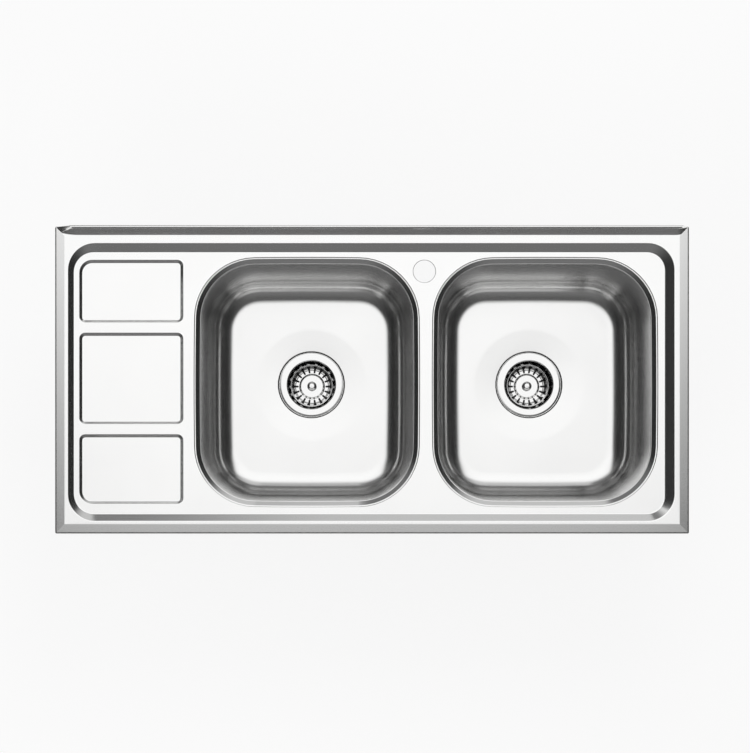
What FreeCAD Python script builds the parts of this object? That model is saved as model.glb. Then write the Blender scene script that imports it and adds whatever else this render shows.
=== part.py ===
import FreeCAD, Part
import math
import os
import re
import Sketcher

# A lay-on double bowl kitchen sink in stainless sheet, with a drainer on its left, a low
# upstand along its rear edge and a basket strainer in each bowl.
#
# Frame: X runs from the drainer to the right bowl, Y from the front edge to the upstand and
# Z up. The origin is the middle of the plan, on the plane where the rim rests on the cabinet.

SIZES = [
    # sheet and rim
    ("sheet_gauge", 0.8, "thickness of the pressed stainless sheet"),
    ("apron_height", 28, "height of the folded rim, from its return flange to the frame"),
    ("return_flange", 18, "width of the flange that the rim turns in at its foot"),
    ("corner_radius", 3, "plan radius of the four outer corners"),
    ("rim_radius", 2.5, "roll of the frame over into the apron"),
    ("upstand_height", 14, "rise of the rear upstand above the frame"),
    ("upstand_width", 12, "width of the upstand at its foot"),
    ("upstand_slope", 25, "lean of the upstand's front face, in degrees"),
    ("upstand_foot", 4, "radius between frame and upstand"),
    ("upstand_crest", 3.8, "radius along the top of the upstand's front"),
    ("upstand_back", 3, "radius along the top of the upstand's back"),
    ("left_ramp", 24, "run over which the upstand slopes down at its left end"),
    ("right_ramp", 8, "run over which the upstand slopes down at its right end"),
    # frame and recess
    ("frame_left", 21.4, "flat frame outside the recess, left"),
    ("frame_right", 23.5, "flat frame outside the recess, right"),
    ("frame_front", 20.3, "flat frame outside the recess, front"),
    ("frame_rear", 27.5, "frame and upstand behind the recess"),
    ("recess_depth", 7, "step from the frame down to the recessed floor"),
    ("recess_left_slope", 47, "lean of that step from upright at the left, in degrees"),
    ("recess_right_slope", 64, "lean of that step at the right"),
    ("recess_front_slope", 58, "lean of that step at the front"),
    ("recess_rear_slope", 60, "lean of that step at the rear"),
    ("recess_corner", 42, "plan radius of the recess"),
    ("recess_bend", 4, "bend radius at the head and foot of the step"),
    # drainer trays
    ("tray_margin", 16.8, "from the recess to the trays, left"),
    ("tray_width", 163.2, "width of the three trays"),
    ("tray_rear_margin", 25.4, "from the recess to the rear tray"),
    ("tray_front_margin", 27.4, "from the recess to the front tray"),
    ("rear_tray_length", 98, "front to back length of the rear tray"),
    ("front_tray_length", 109, "front to back length of the front tray"),
    ("tray_spacing", 17, "flat web between two trays"),
    ("tray_depth", 3.5, "depth of a tray below the recessed floor"),
    ("tray_slope", 45, "lean of a tray's wall from upright, in degrees"),
    ("tray_corner", 9, "plan radius of a tray corner"),
    ("tray_outer_corner", 20, "plan radius of the two corners that follow the recess"),
    ("tray_bend", 2, "bend radius at the head and foot of a tray's wall"),
    # bowls
    ("tray_to_bowl", 17.2, "from the trays to the left bowl"),
    ("bowl_length", 357, "rim of a bowl, left to right"),
    ("bowl_width", 395, "rim of a bowl, front to back"),
    ("bowl_spacing", 19, "flat web between the bowls"),
    ("bowl_right_margin", 24.9, "from the right bowl to the recess"),
    ("bowl_front_margin", 21.7, "from the recess to the bowls, front"),
    ("bowl_rear_margin", 20.5, "from the recess to the bowls, rear"),
    ("bowl_corner", 94, "plan radius of a bowl's rim"),
    ("bowl_depth", 180, "recessed floor down to the bowl floor"),
    ("bowl_draft", 4, "draft of a bowl's wall, in degrees"),
    ("bowl_floor_radius", 34, "radius between wall and floor"),
    ("bevel_drop", 6, "depth of the bevel round a bowl's mouth"),
    ("bevel_slope", 60, "lean of the bevel from upright, in degrees"),
    ("mouth_bend", 3, "bend radius at the head of the bevel"),
    ("lip_bend", 4, "bend radius at the foot of the bevel"),
    ("lip_depth", 8, "overlap of the deck's lip inside the bowl"),
    ("seam_flange", 7, "width of the bowl flange welded under the deck"),
    # drain seat, with radii from the drain's axis
    ("drain_setback", 8, "drain's axis behind the middle of its bowl"),
    ("left_drain_shift", 2.5, "left drain's axis to the right of the middle of its bowl"),
    ("right_drain_shift", 9.2, "right drain's axis to the left of the middle of its bowl"),
    ("fall_radius", 96, "where the bowl floor starts to fall to the drain"),
    ("fall_drop", 2, "fall of the floor to the edge of the drain seat"),
    ("seat_clearance", 1, "floor ring left open round the strainer flange"),
    ("seat_drop", 3.5, "depth of the pressed seat"),
    ("seat_run", 1.5, "width of the pressed seat's wall, seen from above"),
    ("drain_hole", 44.5, "radius of the hole in the bowl floor"),
    # tap hole
    ("tap_radius", 17.5, "radius of the tap hole"),
    ("tap_from_right_bowl", 12, "tap hole axis to the left of the right bowl's rim"),
    ("tap_from_rear", 70.5, "tap hole axis in front of the rear edge"),
    # sealing strip, rails and brackets
    ("strip_thickness", 2, "foam strip under the return flange"),
    ("strip_width", 8, "width of the strip"),
    ("strip_inset", 1, "strip set in from the apron"),
    ("rail_width", 10, "width of a stiffening rail"),
    ("rail_height", 12, "height of a stiffening rail"),
    ("rail_gauge", 1, "sheet of the stiffening rails"),
    ("rail_end_gap", 6, "rail ends short of the trays' outline"),
    ("bracket_gauge", 1.5, "sheet of the fixing brackets"),
    ("bracket_width", 30, "width of a bracket along the apron"),
    ("bracket_reach", 13, "bracket foot lying on the return flange"),
    ("bracket_drop", 34, "bracket leg below the return flange"),
    ("bracket_setback", 0.5, "bracket leg clear of the flange's edge"),
    ("bracket_inset", 70, "bracket centre from the front or rear edge"),
    ("bracket_hole", 2.6, "radius of the screw hole in a bracket leg"),
    ("bracket_hole_drop", 24, "screw hole below the return flange"),
    ("rivet_radius", 2, "shank of a bracket's rivet"),
    ("rivet_head_radius", 4, "head of a bracket's rivet"),
    ("rivet_head_height", 1.2, "height of a rivet's head"),
    ("rivet_tail_height", 0.9, "height of a rivet's upset tail"),
    ("rivet_inset", 13, "rivet axis from the apron's outer face"),
    # sound pads
    ("pad_thickness", 3, "bitumen pad under the bowl floor"),
    ("pad_inner_clearance", 6, "pad clear of the pressed seat"),
    ("pad_outer_margin", 4, "pad short of the start of the fall"),
    # strainer cup, with radii from the drain's axis and depths below the bowl floor
    ("cup_gauge", 0.8, "sheet of the strainer cup"),
    ("cup_flange_radius", 53.5, "outer radius of the strainer flange"),
    ("cup_flange_crown", 1.6, "rise of the flange above its edge"),
    ("cup_mouth_radius", 40, "inner radius of the flange"),
    ("cup_mouth_roll", 3.5, "width of the roll from flange into wall"),
    ("cup_wall_depth", 41.5, "depth of the cup's wall below the flange"),
    ("cup_wall_draft", 1.6, "narrowing of the wall over its depth"),
    ("cup_cone_run", 7, "run and drop of the stopper's seat cone"),
    ("cup_well_depth", 5, "depth of the well under the cone"),
    ("cup_well_draft", 1.5, "narrowing of the well"),
    ("cup_port_count", 4, "outlet ports in the floor of the well"),
    ("cup_port_inner", 11, "inner radius of the outlet ports"),
    ("cup_port_outer", 25, "outer radius of the outlet ports"),
    ("cup_port_web", 5, "web between two ports"),
    # seals and waste body
    ("flange_seal_thickness", 1.2, "seal between flange and bowl"),
    ("flange_seal_margin", 2, "seal inside the edge of the flange"),
    ("gasket_thickness", 3, "rubber gasket under the bowl"),
    ("gasket_margin", 1.5, "gasket outside the drain hole"),
    ("gasket_width", 8, "width of the gasket"),
    ("body_wall", 2.5, "wall of the moulded waste body"),
    ("body_rim_height", 4, "height of the waste body's rim"),
    ("body_rim_margin", 1.5, "rim beyond the gasket"),
    ("body_cup_clearance", 2.4, "waste body clear of the strainer cup"),
    ("body_floor_clearance", 14, "waste body's cone below the cup"),
    ("body_cone_drop", 12, "drop of the cone to the outlet"),
    ("outlet_radius", 23.9, "outside of the outlet, a G 1 1/2 thread"),
    ("outlet_length", 36, "length of the outlet"),
    ("hub_radius", 7.5, "hub that holds the insert"),
    ("hub_gap", 1, "hub below the strainer cup"),
    ("hub_length", 15, "length of the hub"),
    ("web_thickness", 3, "webs that carry the hub"),
    ("web_drop", 2, "webs start below the top of the hub"),
    ("insert_radius", 4.5, "outside of the brass insert"),
    ("insert_length", 13, "length of the brass insert"),
    ("screw_radius", 3, "clamp screw's shank"),
    ("screw_clearance", 0.3, "clearance of the shank in the cup"),
    ("screw_head_radius", 6.5, "clamp screw's head"),
    ("screw_head_height", 3.2, "height of the head"),
    ("screw_slot_width", 1.6, "width of the driver slot"),
    ("screw_slot_depth", 1.6, "depth of the driver slot"),
    ("screw_engagement", 10, "length of thread in the insert"),
    # basket
    ("basket_gauge", 0.7, "sheet of the basket"),
    ("basket_rim_drop", 20, "basket rim below the cup flange's edge"),
    ("basket_rim_radius", 35.8, "outer radius of the rolled rim"),
    ("basket_rim_roll", 1, "half the height of the rolled rim"),
    ("basket_rim_width", 2.2, "width of the rolled rim"),
    ("basket_wall_height", 22, "height of the perforated wall"),
    ("basket_wall_lean", 6.5, "narrowing of the wall over its height"),
    ("basket_slot_count", 18, "slots in the wall"),
    ("basket_slot_width", 5.4, "width of a slot"),
    ("basket_slot_height", 15, "height of a slot"),
    ("basket_dome_radius", 19, "radius of the raised centre"),
    ("basket_dome_height", 4, "height of the raised centre"),
    ("basket_dome_run", 2.5, "run of the dome's side"),
    ("floor_slot_width", 3.6, "width of a slot in the basket's floor"),
    ("floor_slot_margin", 1.2, "floor slot clear of the raised centre and the wall"),
    ("stopper_thickness", 4, "thickness of the rubber stopper"),
    ("stopper_taper", 1.6, "narrowing of the stopper's edge"),
    ("stopper_gap", 0.3, "stopper clear of the seat cone"),
    ("stopper_bore", 9, "radius of the well in the stopper, over the screw's head"),
    ("stopper_web", 1.5, "thickness of the stopper over that well"),
    ("stem_radius", 3.2, "radius of the knob's stem"),
    ("knob_radius", 8, "radius of the knob"),
    ("knob_height", 6.5, "height of the knob"),
    ("knob_rise", 9, "knob above the raised centre"),
    ("knob_edge", 2.2, "rounding of the knob"),
]

ALIAS = re.compile(r"\b[a-z]+(?:_[a-z]+)+\b")
CLOSE = 0.01
TURN = 360
MITRE = 45
SIDES = ("left", "right")

document = FreeCAD.newDocument("DoubleBowlSink")


# ---------------------------------------------------------------- sizes and expressions

def fill_sheet():
    sheet = document.addObject("Spreadsheet::Sheet", "Sizes")
    for row, (alias, size, note) in enumerate(SIZES, start=1):
        sheet.set(f"A{row}", alias)
        sheet.set(f"B{row}", str(size))
        sheet.set(f"C{row}", note)
        sheet.setAlias(f"B{row}", alias)
    document.recompute()
    return sheet


sheet = fill_sheet()


def named(text):
    """Point each size's name in an expression at its cell."""
    return ALIAS.sub(lambda match: "Sizes." + match.group(), str(text))


def number(text):
    return float(sheet.evalExpression(named(text)))


def bind(item, field, text):
    item.setExpression(field, named(text))


# Overall sizes follow from what lies side by side.
DECK_LENGTH = ("(frame_left + tray_margin + tray_width + tray_to_bowl + 2 * bowl_length"
               " + bowl_spacing + bowl_right_margin + frame_right)")
DECK_DEPTH = "(frame_front + bowl_front_margin + bowl_width + bowl_rear_margin + frame_rear)"
RECESS = {
    "left": f"(-{DECK_LENGTH} / 2 + frame_left)",
    "right": f"({DECK_LENGTH} / 2 - frame_right)",
    "front": f"(-{DECK_DEPTH} / 2 + frame_front)",
    "rear": f"({DECK_DEPTH} / 2 - frame_rear)",
}
TRAY_LEFT = f"({RECESS['left']} + tray_margin)"
TRAY_RIGHT = f"({TRAY_LEFT} + tray_width)"
BOWL_FRONT = f"({RECESS['front']} + bowl_front_margin)"
BOWL_REAR = f"({BOWL_FRONT} + bowl_width)"
BOWL_LEFT = {"left": f"({TRAY_RIGHT} + tray_to_bowl)"}
BOWL_LEFT["right"] = f"({BOWL_LEFT['left']} + bowl_length + bowl_spacing)"
DRAIN_X = {"left": f"({BOWL_LEFT['left']} + bowl_length / 2 + left_drain_shift)",
           "right": f"({BOWL_LEFT['right']} + bowl_length / 2 - right_drain_shift)"}
DRAIN_Y = f"({BOWL_FRONT} + bowl_width / 2 + drain_setback)"

# Levels, from the cabinet up and down.
FRAME_TOP = "(strip_thickness + apron_height)"
DECK_FLOOR = f"({FRAME_TOP} - recess_depth)"
BOWL_FLOOR = f"({DECK_FLOOR} - bowl_depth)"
SEAT_TOP = f"({BOWL_FLOOR} - fall_drop - seat_drop)"
SEAT_UNDER = f"({SEAT_TOP} - sheet_gauge)"


def shifted(value, amount):
    return f"({value} + ({amount}))"


def growth(layers, slope):
    """How far a wall's outline moves out, in its own level's plane, when the surface moves
    down by so many sheet gauges."""
    return f"({layers} * sheet_gauge * (1 / cos({slope}) - tan({slope})))"


# ---------------------------------------------------------------- sketches and features

def new_body(name):
    body = document.addObject("PartDesign::Body", name)
    body.Label = name
    return body


def origin_plane(body, role):
    return next(item for item in body.Origin.OriginFeatures if item.Role == role)


def new_sketch(body, name, role="XY_Plane", place=("0", "0", "0")):
    """A sketch on one of the body's own planes, moved along that plane's own axes."""
    sketch = body.newObject("Sketcher::SketchObject", name)
    sketch.AttachmentSupport = (origin_plane(body, role), [""])
    sketch.MapMode = "FlatFace"
    for axis, text in zip("xyz", place):
        bind(sketch, f"AttachmentOffset.Base.{axis}", text)
    return sketch


def fix(sketch, kind, item, point, axis_name, text):
    """Hold one point of a sketch at a bound distance from the sketch's origin."""
    index = sketch.addConstraint(Sketcher.Constraint(kind, -1, 1, item, point, number(text)))
    label = f"{axis_name}_{item}_{point}"
    sketch.renameConstraint(index, label)
    bind(sketch, f"Constraints.{label}", text)


def fix_radius(sketch, item, text):
    index = sketch.addConstraint(Sketcher.Constraint("Radius", item, number(text)))
    label = f"radius_{item}"
    sketch.renameConstraint(index, label)
    bind(sketch, f"Constraints.{label}", text)


def draw_polygon(sketch, points):
    """A closed outline through points that are given as pairs of expressions."""
    spots = [FreeCAD.Vector(number(x), number(y), 0) for x, y in points]
    first = sketch.GeometryCount
    count = len(spots)
    for index in range(count):
        sketch.addGeometry(Part.LineSegment(spots[index], spots[(index + 1) % count]), False)
    for index in range(count):
        here = first + index
        following = first + (index + 1) % count
        sketch.addConstraint(Sketcher.Constraint("Coincident", here, 2, following, 1))
    for index, (x, y) in enumerate(points):
        fix(sketch, "DistanceX", first + index, 1, "x", x)
        fix(sketch, "DistanceY", first + index, 1, "y", y)


def draw_circle(sketch, x, y, radius):
    centre = FreeCAD.Vector(number(x), number(y), 0)
    circle = Part.Circle(centre, FreeCAD.Vector(0, 0, 1), number(radius))
    item = sketch.addGeometry(circle, False)
    fix(sketch, "DistanceX", item, 3, "x", x)
    fix(sketch, "DistanceY", item, 3, "y", y)
    fix_radius(sketch, item, radius)


def draw_rounded(sketch, box, radii):
    """A rectangle with a radius at each corner: front left, front right, rear right and
    rear left."""
    left, right = number(box["left"]), number(box["right"])
    front, rear = number(box["front"]), number(box["rear"])
    sizes = [number(radius) for radius in radii]
    corners = [(left, front, 1, 1), (right, front, -1, 1), (right, rear, -1, -1), (left, rear, 1, -1)]
    arcs = []
    for turn, ((x, y, inward_x, inward_y), radius) in enumerate(zip(corners, sizes)):
        centre = FreeCAD.Vector(x + inward_x * radius, y + inward_y * radius, 0)
        circle = Part.Circle(centre, FreeCAD.Vector(0, 0, 1), radius)
        start = math.pi + turn * math.pi / 2
        arcs.append(Part.ArcOfCircle(circle, start, start + math.pi / 2))
    for arc in arcs:
        sketch.addGeometry(arc, False)
    for turn in range(4):
        line = Part.LineSegment(arcs[turn].EndPoint, arcs[(turn + 1) % 4].StartPoint)
        sketch.addGeometry(line, False)
    for turn in range(4):
        line = 4 + turn
        sketch.addConstraint(Sketcher.Constraint("Tangent", turn, 2, line, 1))
        sketch.addConstraint(Sketcher.Constraint("Tangent", line, 2, (turn + 1) % 4, 1))
        direction = "Horizontal" if turn % 2 == 0 else "Vertical"
        sketch.addConstraint(Sketcher.Constraint(direction, line))
    fix(sketch, "DistanceY", 4, 1, "front", box["front"])
    fix(sketch, "DistanceX", 5, 1, "right", box["right"])
    fix(sketch, "DistanceY", 6, 1, "rear", box["rear"])
    fix(sketch, "DistanceX", 7, 1, "left", box["left"])
    for turn, radius in enumerate(radii):
        fix_radius(sketch, turn, radius)


def grown(box, amount):
    return {
        "left": shifted(box["left"], f"-({amount})"),
        "right": shifted(box["right"], amount),
        "front": shifted(box["front"], f"-({amount})"),
        "rear": shifted(box["rear"], amount),
    }


def add_pad(body, name, sketch, length, symmetric=False, downward=False, cut=False):
    pad = body.newObject("PartDesign::Pocket" if cut else "PartDesign::Pad", name)
    pad.Profile = sketch
    bind(pad, "Length", length)
    if symmetric:
        pad.SideType = "Symmetric"
    pad.Reversed = downward
    document.recompute()
    return pad


def widened(box, radii, amounts):
    """The box with each side moved out by its own amount, and corners that follow."""
    corners = (("front", "left"), ("front", "right"), ("rear", "right"), ("rear", "left"))
    sides = {side: grown(box, amount)[side] for side, amount in amounts.items()}
    return sides, [f"{radius} + ({amounts[first]} + {amounts[second]}) / 2"
                   for radius, (first, second) in zip(radii, corners)]


def add_frustum(body, name, box, radii, top, drop, slopes, layers, cut):
    """A rounded block that narrows downwards: a cut in the deck, or the space in a bowl.
    Its faces lie so many sheet gauges under the surface that the box and top describe."""
    out = {side: growth(layers, slopes[side]) for side in box}
    level = f"({top}) - {layers} * sheet_gauge"
    head = new_sketch(body, name + "Head", place=("0", "0", level))
    draw_rounded(head, *widened(box, radii, out))
    foot = new_sketch(body, name + "Foot", place=("0", "0", f"{level} - ({drop})"))
    inward = {side: f"({out[side]} - ({drop}) * tan({slopes[side]}))" for side in box}
    draw_rounded(foot, *widened(box, radii, inward))
    loft = body.newObject("PartDesign::" + ("SubtractiveLoft" if cut else "AdditiveLoft"), name)
    loft.Profile = head
    loft.Sections = [foot]
    loft.Ruled = True
    document.recompute()
    return loft


def add_fillet(body, name, radius, wanted):
    """Round the edges of the body's last feature that a test picks."""
    base = body.Tip
    names = [f"Edge{index}" for index, edge in enumerate(base.Shape.Edges, start=1)
             if wanted(edge.BoundBox)]
    fillet = body.newObject("PartDesign::Fillet", name)
    fillet.Base = (base, names)
    bind(fillet, "Radius", radius)
    document.recompute()
    return fillet


def level_edges(level, box, reach="0"):
    """A test for flat edges at a level, or down to so far under it, inside a box."""
    top = number(level)
    bottom = top - number(reach)
    left, right = number(box["left"]) - CLOSE, number(box["right"]) + CLOSE
    front, rear = number(box["front"]) - CLOSE, number(box["rear"]) + CLOSE

    def wanted(edge):
        flat = edge.ZLength < CLOSE and bottom - CLOSE < edge.ZMin and edge.ZMax < top + CLOSE
        across = left < edge.XMin and edge.XMax < right
        return flat and across and front < edge.YMin and edge.YMax < rear
    return wanted


def add_turned(body, name, points, centre):
    """Turn a profile of radii and heights about the upright axis through a centre."""
    place = (centre[0], "0", f"-({centre[1]})")
    sketch = new_sketch(body, name + "Profile", "XZ_Plane", place)
    draw_polygon(sketch, points)
    turned = body.newObject("PartDesign::Revolution", name)
    turned.Profile = sketch
    turned.ReferenceAxis = (sketch, ["V_Axis"])
    turned.Angle = TURN
    document.recompute()
    return turned


def add_polar_pattern(body, name, feature, axis_sketch, count):
    pattern = body.newObject("PartDesign::PolarPattern", name)
    pattern.Originals = [feature]
    pattern.Axis = (axis_sketch, ["N_Axis"])
    pattern.Angle = TURN
    bind(pattern, "Occurrences", count)
    body.Tip = pattern
    document.recompute()
    return pattern


def subtract(name, base, tool):
    result = document.addObject("Part::Cut", name)
    result.Label = name
    result.Base = base
    result.Tool = tool
    document.recompute()
    return result


# ---------------------------------------------------------------- deck

def deck_section(body, layers):
    """The rim's profile, extruded from end to end: apron, frame and rear upstand."""
    under = f"{layers} * sheet_gauge"
    rear = f"{DECK_DEPTH} / 2 - {under}"
    front = f"-{DECK_DEPTH} / 2 + {under}"
    frame = f"{FRAME_TOP} - {under}"
    crest = f"{frame} + upstand_height"
    foot_y = f"{DECK_DEPTH} / 2 - upstand_width + {growth(layers, 'upstand_slope')}"
    crest_y = f"{foot_y} + upstand_height * tan(upstand_slope)"
    base = f"strip_thickness + {under}"
    sketch = new_sketch(body, "Section", "YZ_Plane")
    draw_polygon(sketch, [(front, base), (rear, base), (rear, crest),
                          (crest_y, crest), (foot_y, frame), (front, frame)])
    add_pad(body, "Rim", sketch, f"{DECK_LENGTH} - 2 * {under}", symmetric=True)
    foot_at, crest_at = number(foot_y), number(crest)
    frame_at = number(frame)
    long_edge = number(DECK_LENGTH) / 2
    add_fillet(body, "UpstandFoot", f"upstand_foot + {under}",
               lambda edge: abs(edge.YMin - foot_at) < CLOSE and abs(edge.YMax - foot_at) < CLOSE
               and abs(edge.ZMax - frame_at) < CLOSE and edge.XLength > long_edge)
    ridge = (number(rear) + number(crest_y)) / 2
    add_fillet(body, "UpstandCrest", f"upstand_crest - {under}",
               lambda edge: abs(edge.ZMin - crest_at) < CLOSE and edge.XLength > long_edge
               and edge.YMax < ridge)
    add_fillet(body, "UpstandBack", f"upstand_back - {under}",
               lambda edge: abs(edge.ZMin - crest_at) < CLOSE and edge.XLength > long_edge
               and edge.YMin > ridge)
    add_fillet(body, "OuterCorners", f"corner_radius - {under}",
               lambda edge: edge.XLength < CLOSE and edge.YLength < CLOSE
               and edge.ZLength > number("apron_height") / 2)
    add_rim_roll(body, layers)
    slope_upstand_ends(body, layers)


def slope_upstand_ends(body, layers):
    """Cut the upstand off aslant above the frame, at both ends."""
    sketch = new_sketch(body, "EndOutline", "XZ_Plane")
    for sign, ramp in ((-1, "left_ramp"), (1, "right_ramp")):
        slant = f"sqrt({ramp} * {ramp} + upstand_height * upstand_height)"
        low = f"{FRAME_TOP} - {layers} * sheet_gauge * {slant} / {ramp}"
        edge = f"{sign} * {DECK_LENGTH} / 2"
        draw_polygon(sketch, [
            (edge, low), (edge, f"{low} + 2 * upstand_height"),
            (f"{edge} - {sign} * 2 * {ramp}", f"{low} + 2 * upstand_height")])
    add_pad(body, "UpstandEnds", sketch, f"2 * {DECK_DEPTH}", symmetric=True, cut=True)


def add_rim_roll(body, layers):
    """Roll the frame's outer edges over, round the corners and up the upstand's ends."""
    under = number(f"{layers} * sheet_gauge")
    side = number(f"{DECK_LENGTH} / 2 - corner_radius") - CLOSE
    front = -number(f"{DECK_DEPTH} / 2") + under + CLOSE
    base = number(FRAME_TOP) - under - CLOSE

    def wanted(edge):
        upright = edge.XLength < CLOSE and edge.YLength < CLOSE
        along_side = edge.XMin > side or edge.XMax < -side
        along_front = edge.YMax < front
        return edge.ZMin > base and not upright and (along_side or along_front)
    add_fillet(body, "RimRoll", f"rim_radius - {layers} * sheet_gauge", wanted)


def tray_boxes():
    """The three drainer trays, rear to front. The middle one takes the space between."""
    rear_top = f"({RECESS['rear']} - tray_rear_margin)"
    rear_low = f"({rear_top} - rear_tray_length)"
    front_low = f"({RECESS['front']} + tray_front_margin)"
    front_top = f"({front_low} + front_tray_length)"
    spans = [(rear_low, rear_top), (f"({front_top} + tray_spacing)", f"({rear_low} - tray_spacing)"),
             (front_low, front_top)]
    return [{"left": TRAY_LEFT, "right": TRAY_RIGHT, "front": low, "rear": high}
            for low, high in spans]


def even(slope):
    return dict.fromkeys(RECESS, slope)


def add_pressing(body, name, box, radii, top, drop, slopes, bend, layers):
    """A pressed step down: a tapered cut with a bend at its head and its foot."""
    add_frustum(body, name, box, radii, top, drop, slopes, layers, cut=True)
    level = f"{top} - {layers} * sheet_gauge"
    reach = grown(box, f"{layers} * sheet_gauge")
    add_fillet(body, name + "HeadBend", f"{bend} - {layers} * sheet_gauge",
               level_edges(level, reach))
    add_fillet(body, name + "FootBend", f"{bend} + {layers} * sheet_gauge",
               level_edges(f"{level} - {drop}", reach))


def mouth_box(side):
    return {"left": BOWL_LEFT[side], "right": f"({BOWL_LEFT[side]} + bowl_length)",
            "front": BOWL_FRONT, "rear": BOWL_REAR}


def wall_box(side):
    """The bowl wall's outline, carried up to the level of the recessed floor."""
    inset = "(bevel_drop * (tan(bowl_draft) - tan(bevel_slope)))"
    return grown(mouth_box(side), inset), f"bowl_corner + {inset}"


def add_mouth(body, side, layers, wall_drop, cut):
    """A bevel and the wall that drops from it, with a bend at each edge of the bevel."""
    name = side.capitalize()
    box = mouth_box(side)
    wall, corner = wall_box(side)
    level = f"{DECK_FLOOR} - {layers} * sheet_gauge"
    add_frustum(body, name + "Bevel", box, ["bowl_corner"] * 4, DECK_FLOOR, "bevel_drop",
                even("bevel_slope"), layers, cut)
    add_frustum(body, name + "Wall", wall, [corner] * 4, DECK_FLOOR, wall_drop,
                even("bowl_draft"), layers, cut)
    inside = grown(box, growth(layers, "bevel_slope"))
    add_fillet(body, name + "MouthBend", f"mouth_bend - {layers} * sheet_gauge",
               level_edges(level, inside))
    # The bevel and the wall meet at the bevel's foot or up to two gauges under it.
    add_fillet(body, name + "LipBend", f"lip_bend - {layers} * sheet_gauge",
               level_edges(f"{DECK_FLOOR} - bevel_drop", inside, "2 * sheet_gauge"))


def deck_form(name, layers, wall_drop):
    """The deck's block, its faces so many sheet gauges under the visible surface."""
    body = new_body(name)
    deck_section(body, layers)
    leans = {side: f"recess_{side}_slope" for side in RECESS}
    add_pressing(body, "Recess", RECESS, ["recess_corner"] * 4, FRAME_TOP, "recess_depth",
                 leans, "recess_bend", layers)
    wide, plain = "tray_outer_corner", "tray_corner"
    tray_corners = [[plain, plain, plain, wide], [plain] * 4, [wide, plain, plain, plain]]
    for index, (box, radii) in enumerate(zip(tray_boxes(), tray_corners)):
        add_pressing(body, f"Tray{index}", box, radii, DECK_FLOOR, "tray_depth",
                     even("tray_slope"), "tray_bend", layers)
    for side in SIDES:
        add_mouth(body, side, layers, wall_drop, cut=True)
    return body


def bracket_places():
    """Bracket centres along the side aprons, as sides of X and expressions for Y."""
    front = f"(-{DECK_DEPTH} / 2 + bracket_inset)"
    rear = f"({DECK_DEPTH} / 2 - bracket_inset)"
    return [(sign, y) for sign in (-1, 1) for y in (front, rear)]


def build_deck():
    skin = deck_form("deck_skin", 0, f"{DECK_FLOOR} - strip_thickness")
    tap = new_sketch(skin, "TapHole", place=("0", "0", DECK_FLOOR))
    draw_circle(tap, f"{BOWL_LEFT['right']} - tap_from_right_bowl",
                f"{DECK_DEPTH} / 2 - tap_from_rear", "tap_radius")
    add_pad(skin, "TapCut", tap, "2 * sheet_gauge", cut=True)
    rivets = new_sketch(skin, "RivetHoles", place=("0", "0", "strip_thickness"))
    for sign, y in bracket_places():
        draw_circle(rivets, f"{sign} * ({DECK_LENGTH} / 2 - rivet_inset)", y, "rivet_radius")
    add_pad(skin, "RivetCut", rivets, "2 * sheet_gauge", cut=True, downward=True)
    hollow = deck_form("deck_hollow", 1, "bevel_drop + lip_depth")
    window = new_sketch(hollow, "FlangeWindow", place=("0", "0", "strip_thickness"))
    edge = {"left": f"(-{DECK_LENGTH} / 2)", "right": f"({DECK_LENGTH} / 2)",
            "front": f"(-{DECK_DEPTH} / 2)", "rear": f"({DECK_DEPTH} / 2)"}
    draw_rounded(window, grown(edge, "-return_flange"), ["corner_radius"] * 4)
    add_pad(hollow, "WindowPad", window, "2 * sheet_gauge")
    return subtract("deck", skin, hollow)


# ---------------------------------------------------------------- bowls

def drain_centre(side):
    return (DRAIN_X[side], DRAIN_Y)


SEAT_RADIUS = "(cup_flange_radius + seat_clearance)"


def seat_growth(layers):
    """The same as growth(), for the wall of the drain seat."""
    slant = "sqrt(seat_run * seat_run + seat_drop * seat_drop)"
    return f"({layers} * sheet_gauge * ({slant} - seat_run) / seat_drop)"


def basin_form(name, side, layers):
    """The space in a bowl, down to its drain seat, with the slab over its seam flange."""
    body = new_body(name)
    slab = new_sketch(body, "Slab", place=("0", "0", f"{DECK_FLOOR} - {layers} * sheet_gauge"))
    draw_rounded(slab, grown(mouth_box(side), "seam_flange"), ["bowl_corner + seam_flange"] * 4)
    add_pad(body, "SlabPad", slab, "sheet_gauge")
    add_mouth(body, side, layers, "bowl_depth - sheet_gauge", cut=False)
    floor = f"{BOWL_FLOOR} - {layers - 1} * sheet_gauge"
    add_fillet(body, "FloorRadius", f"bowl_floor_radius + {layers - 1} * sheet_gauge",
               level_edges(floor, mouth_box(side)))
    out = seat_growth(layers - 1)
    add_turned(body, "DrainSeat", [
        ("0", f"{floor} + fall_drop"), ("fall_radius", f"{floor} + fall_drop"),
        ("fall_radius", floor), (f"{SEAT_RADIUS} + seat_run + {out}", f"{floor} - fall_drop"),
        (f"{SEAT_RADIUS} + {out}", f"{floor} - fall_drop - seat_drop"),
        ("0", f"{floor} - fall_drop - seat_drop")], drain_centre(side))
    return body


def build_bowl(side):
    shell = basin_form(f"{side}_bowl_outside", side, 2)
    space = basin_form(f"{side}_bowl_inside", side, 1)
    hole = new_sketch(space, "DrainHole", place=("0", "0", SEAT_TOP))
    draw_circle(hole, *drain_centre(side), "drain_hole")
    add_pad(space, "DrainCut", hole, "2 * sheet_gauge", downward=True)
    return subtract(f"{side}_bowl", shell, space)


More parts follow.
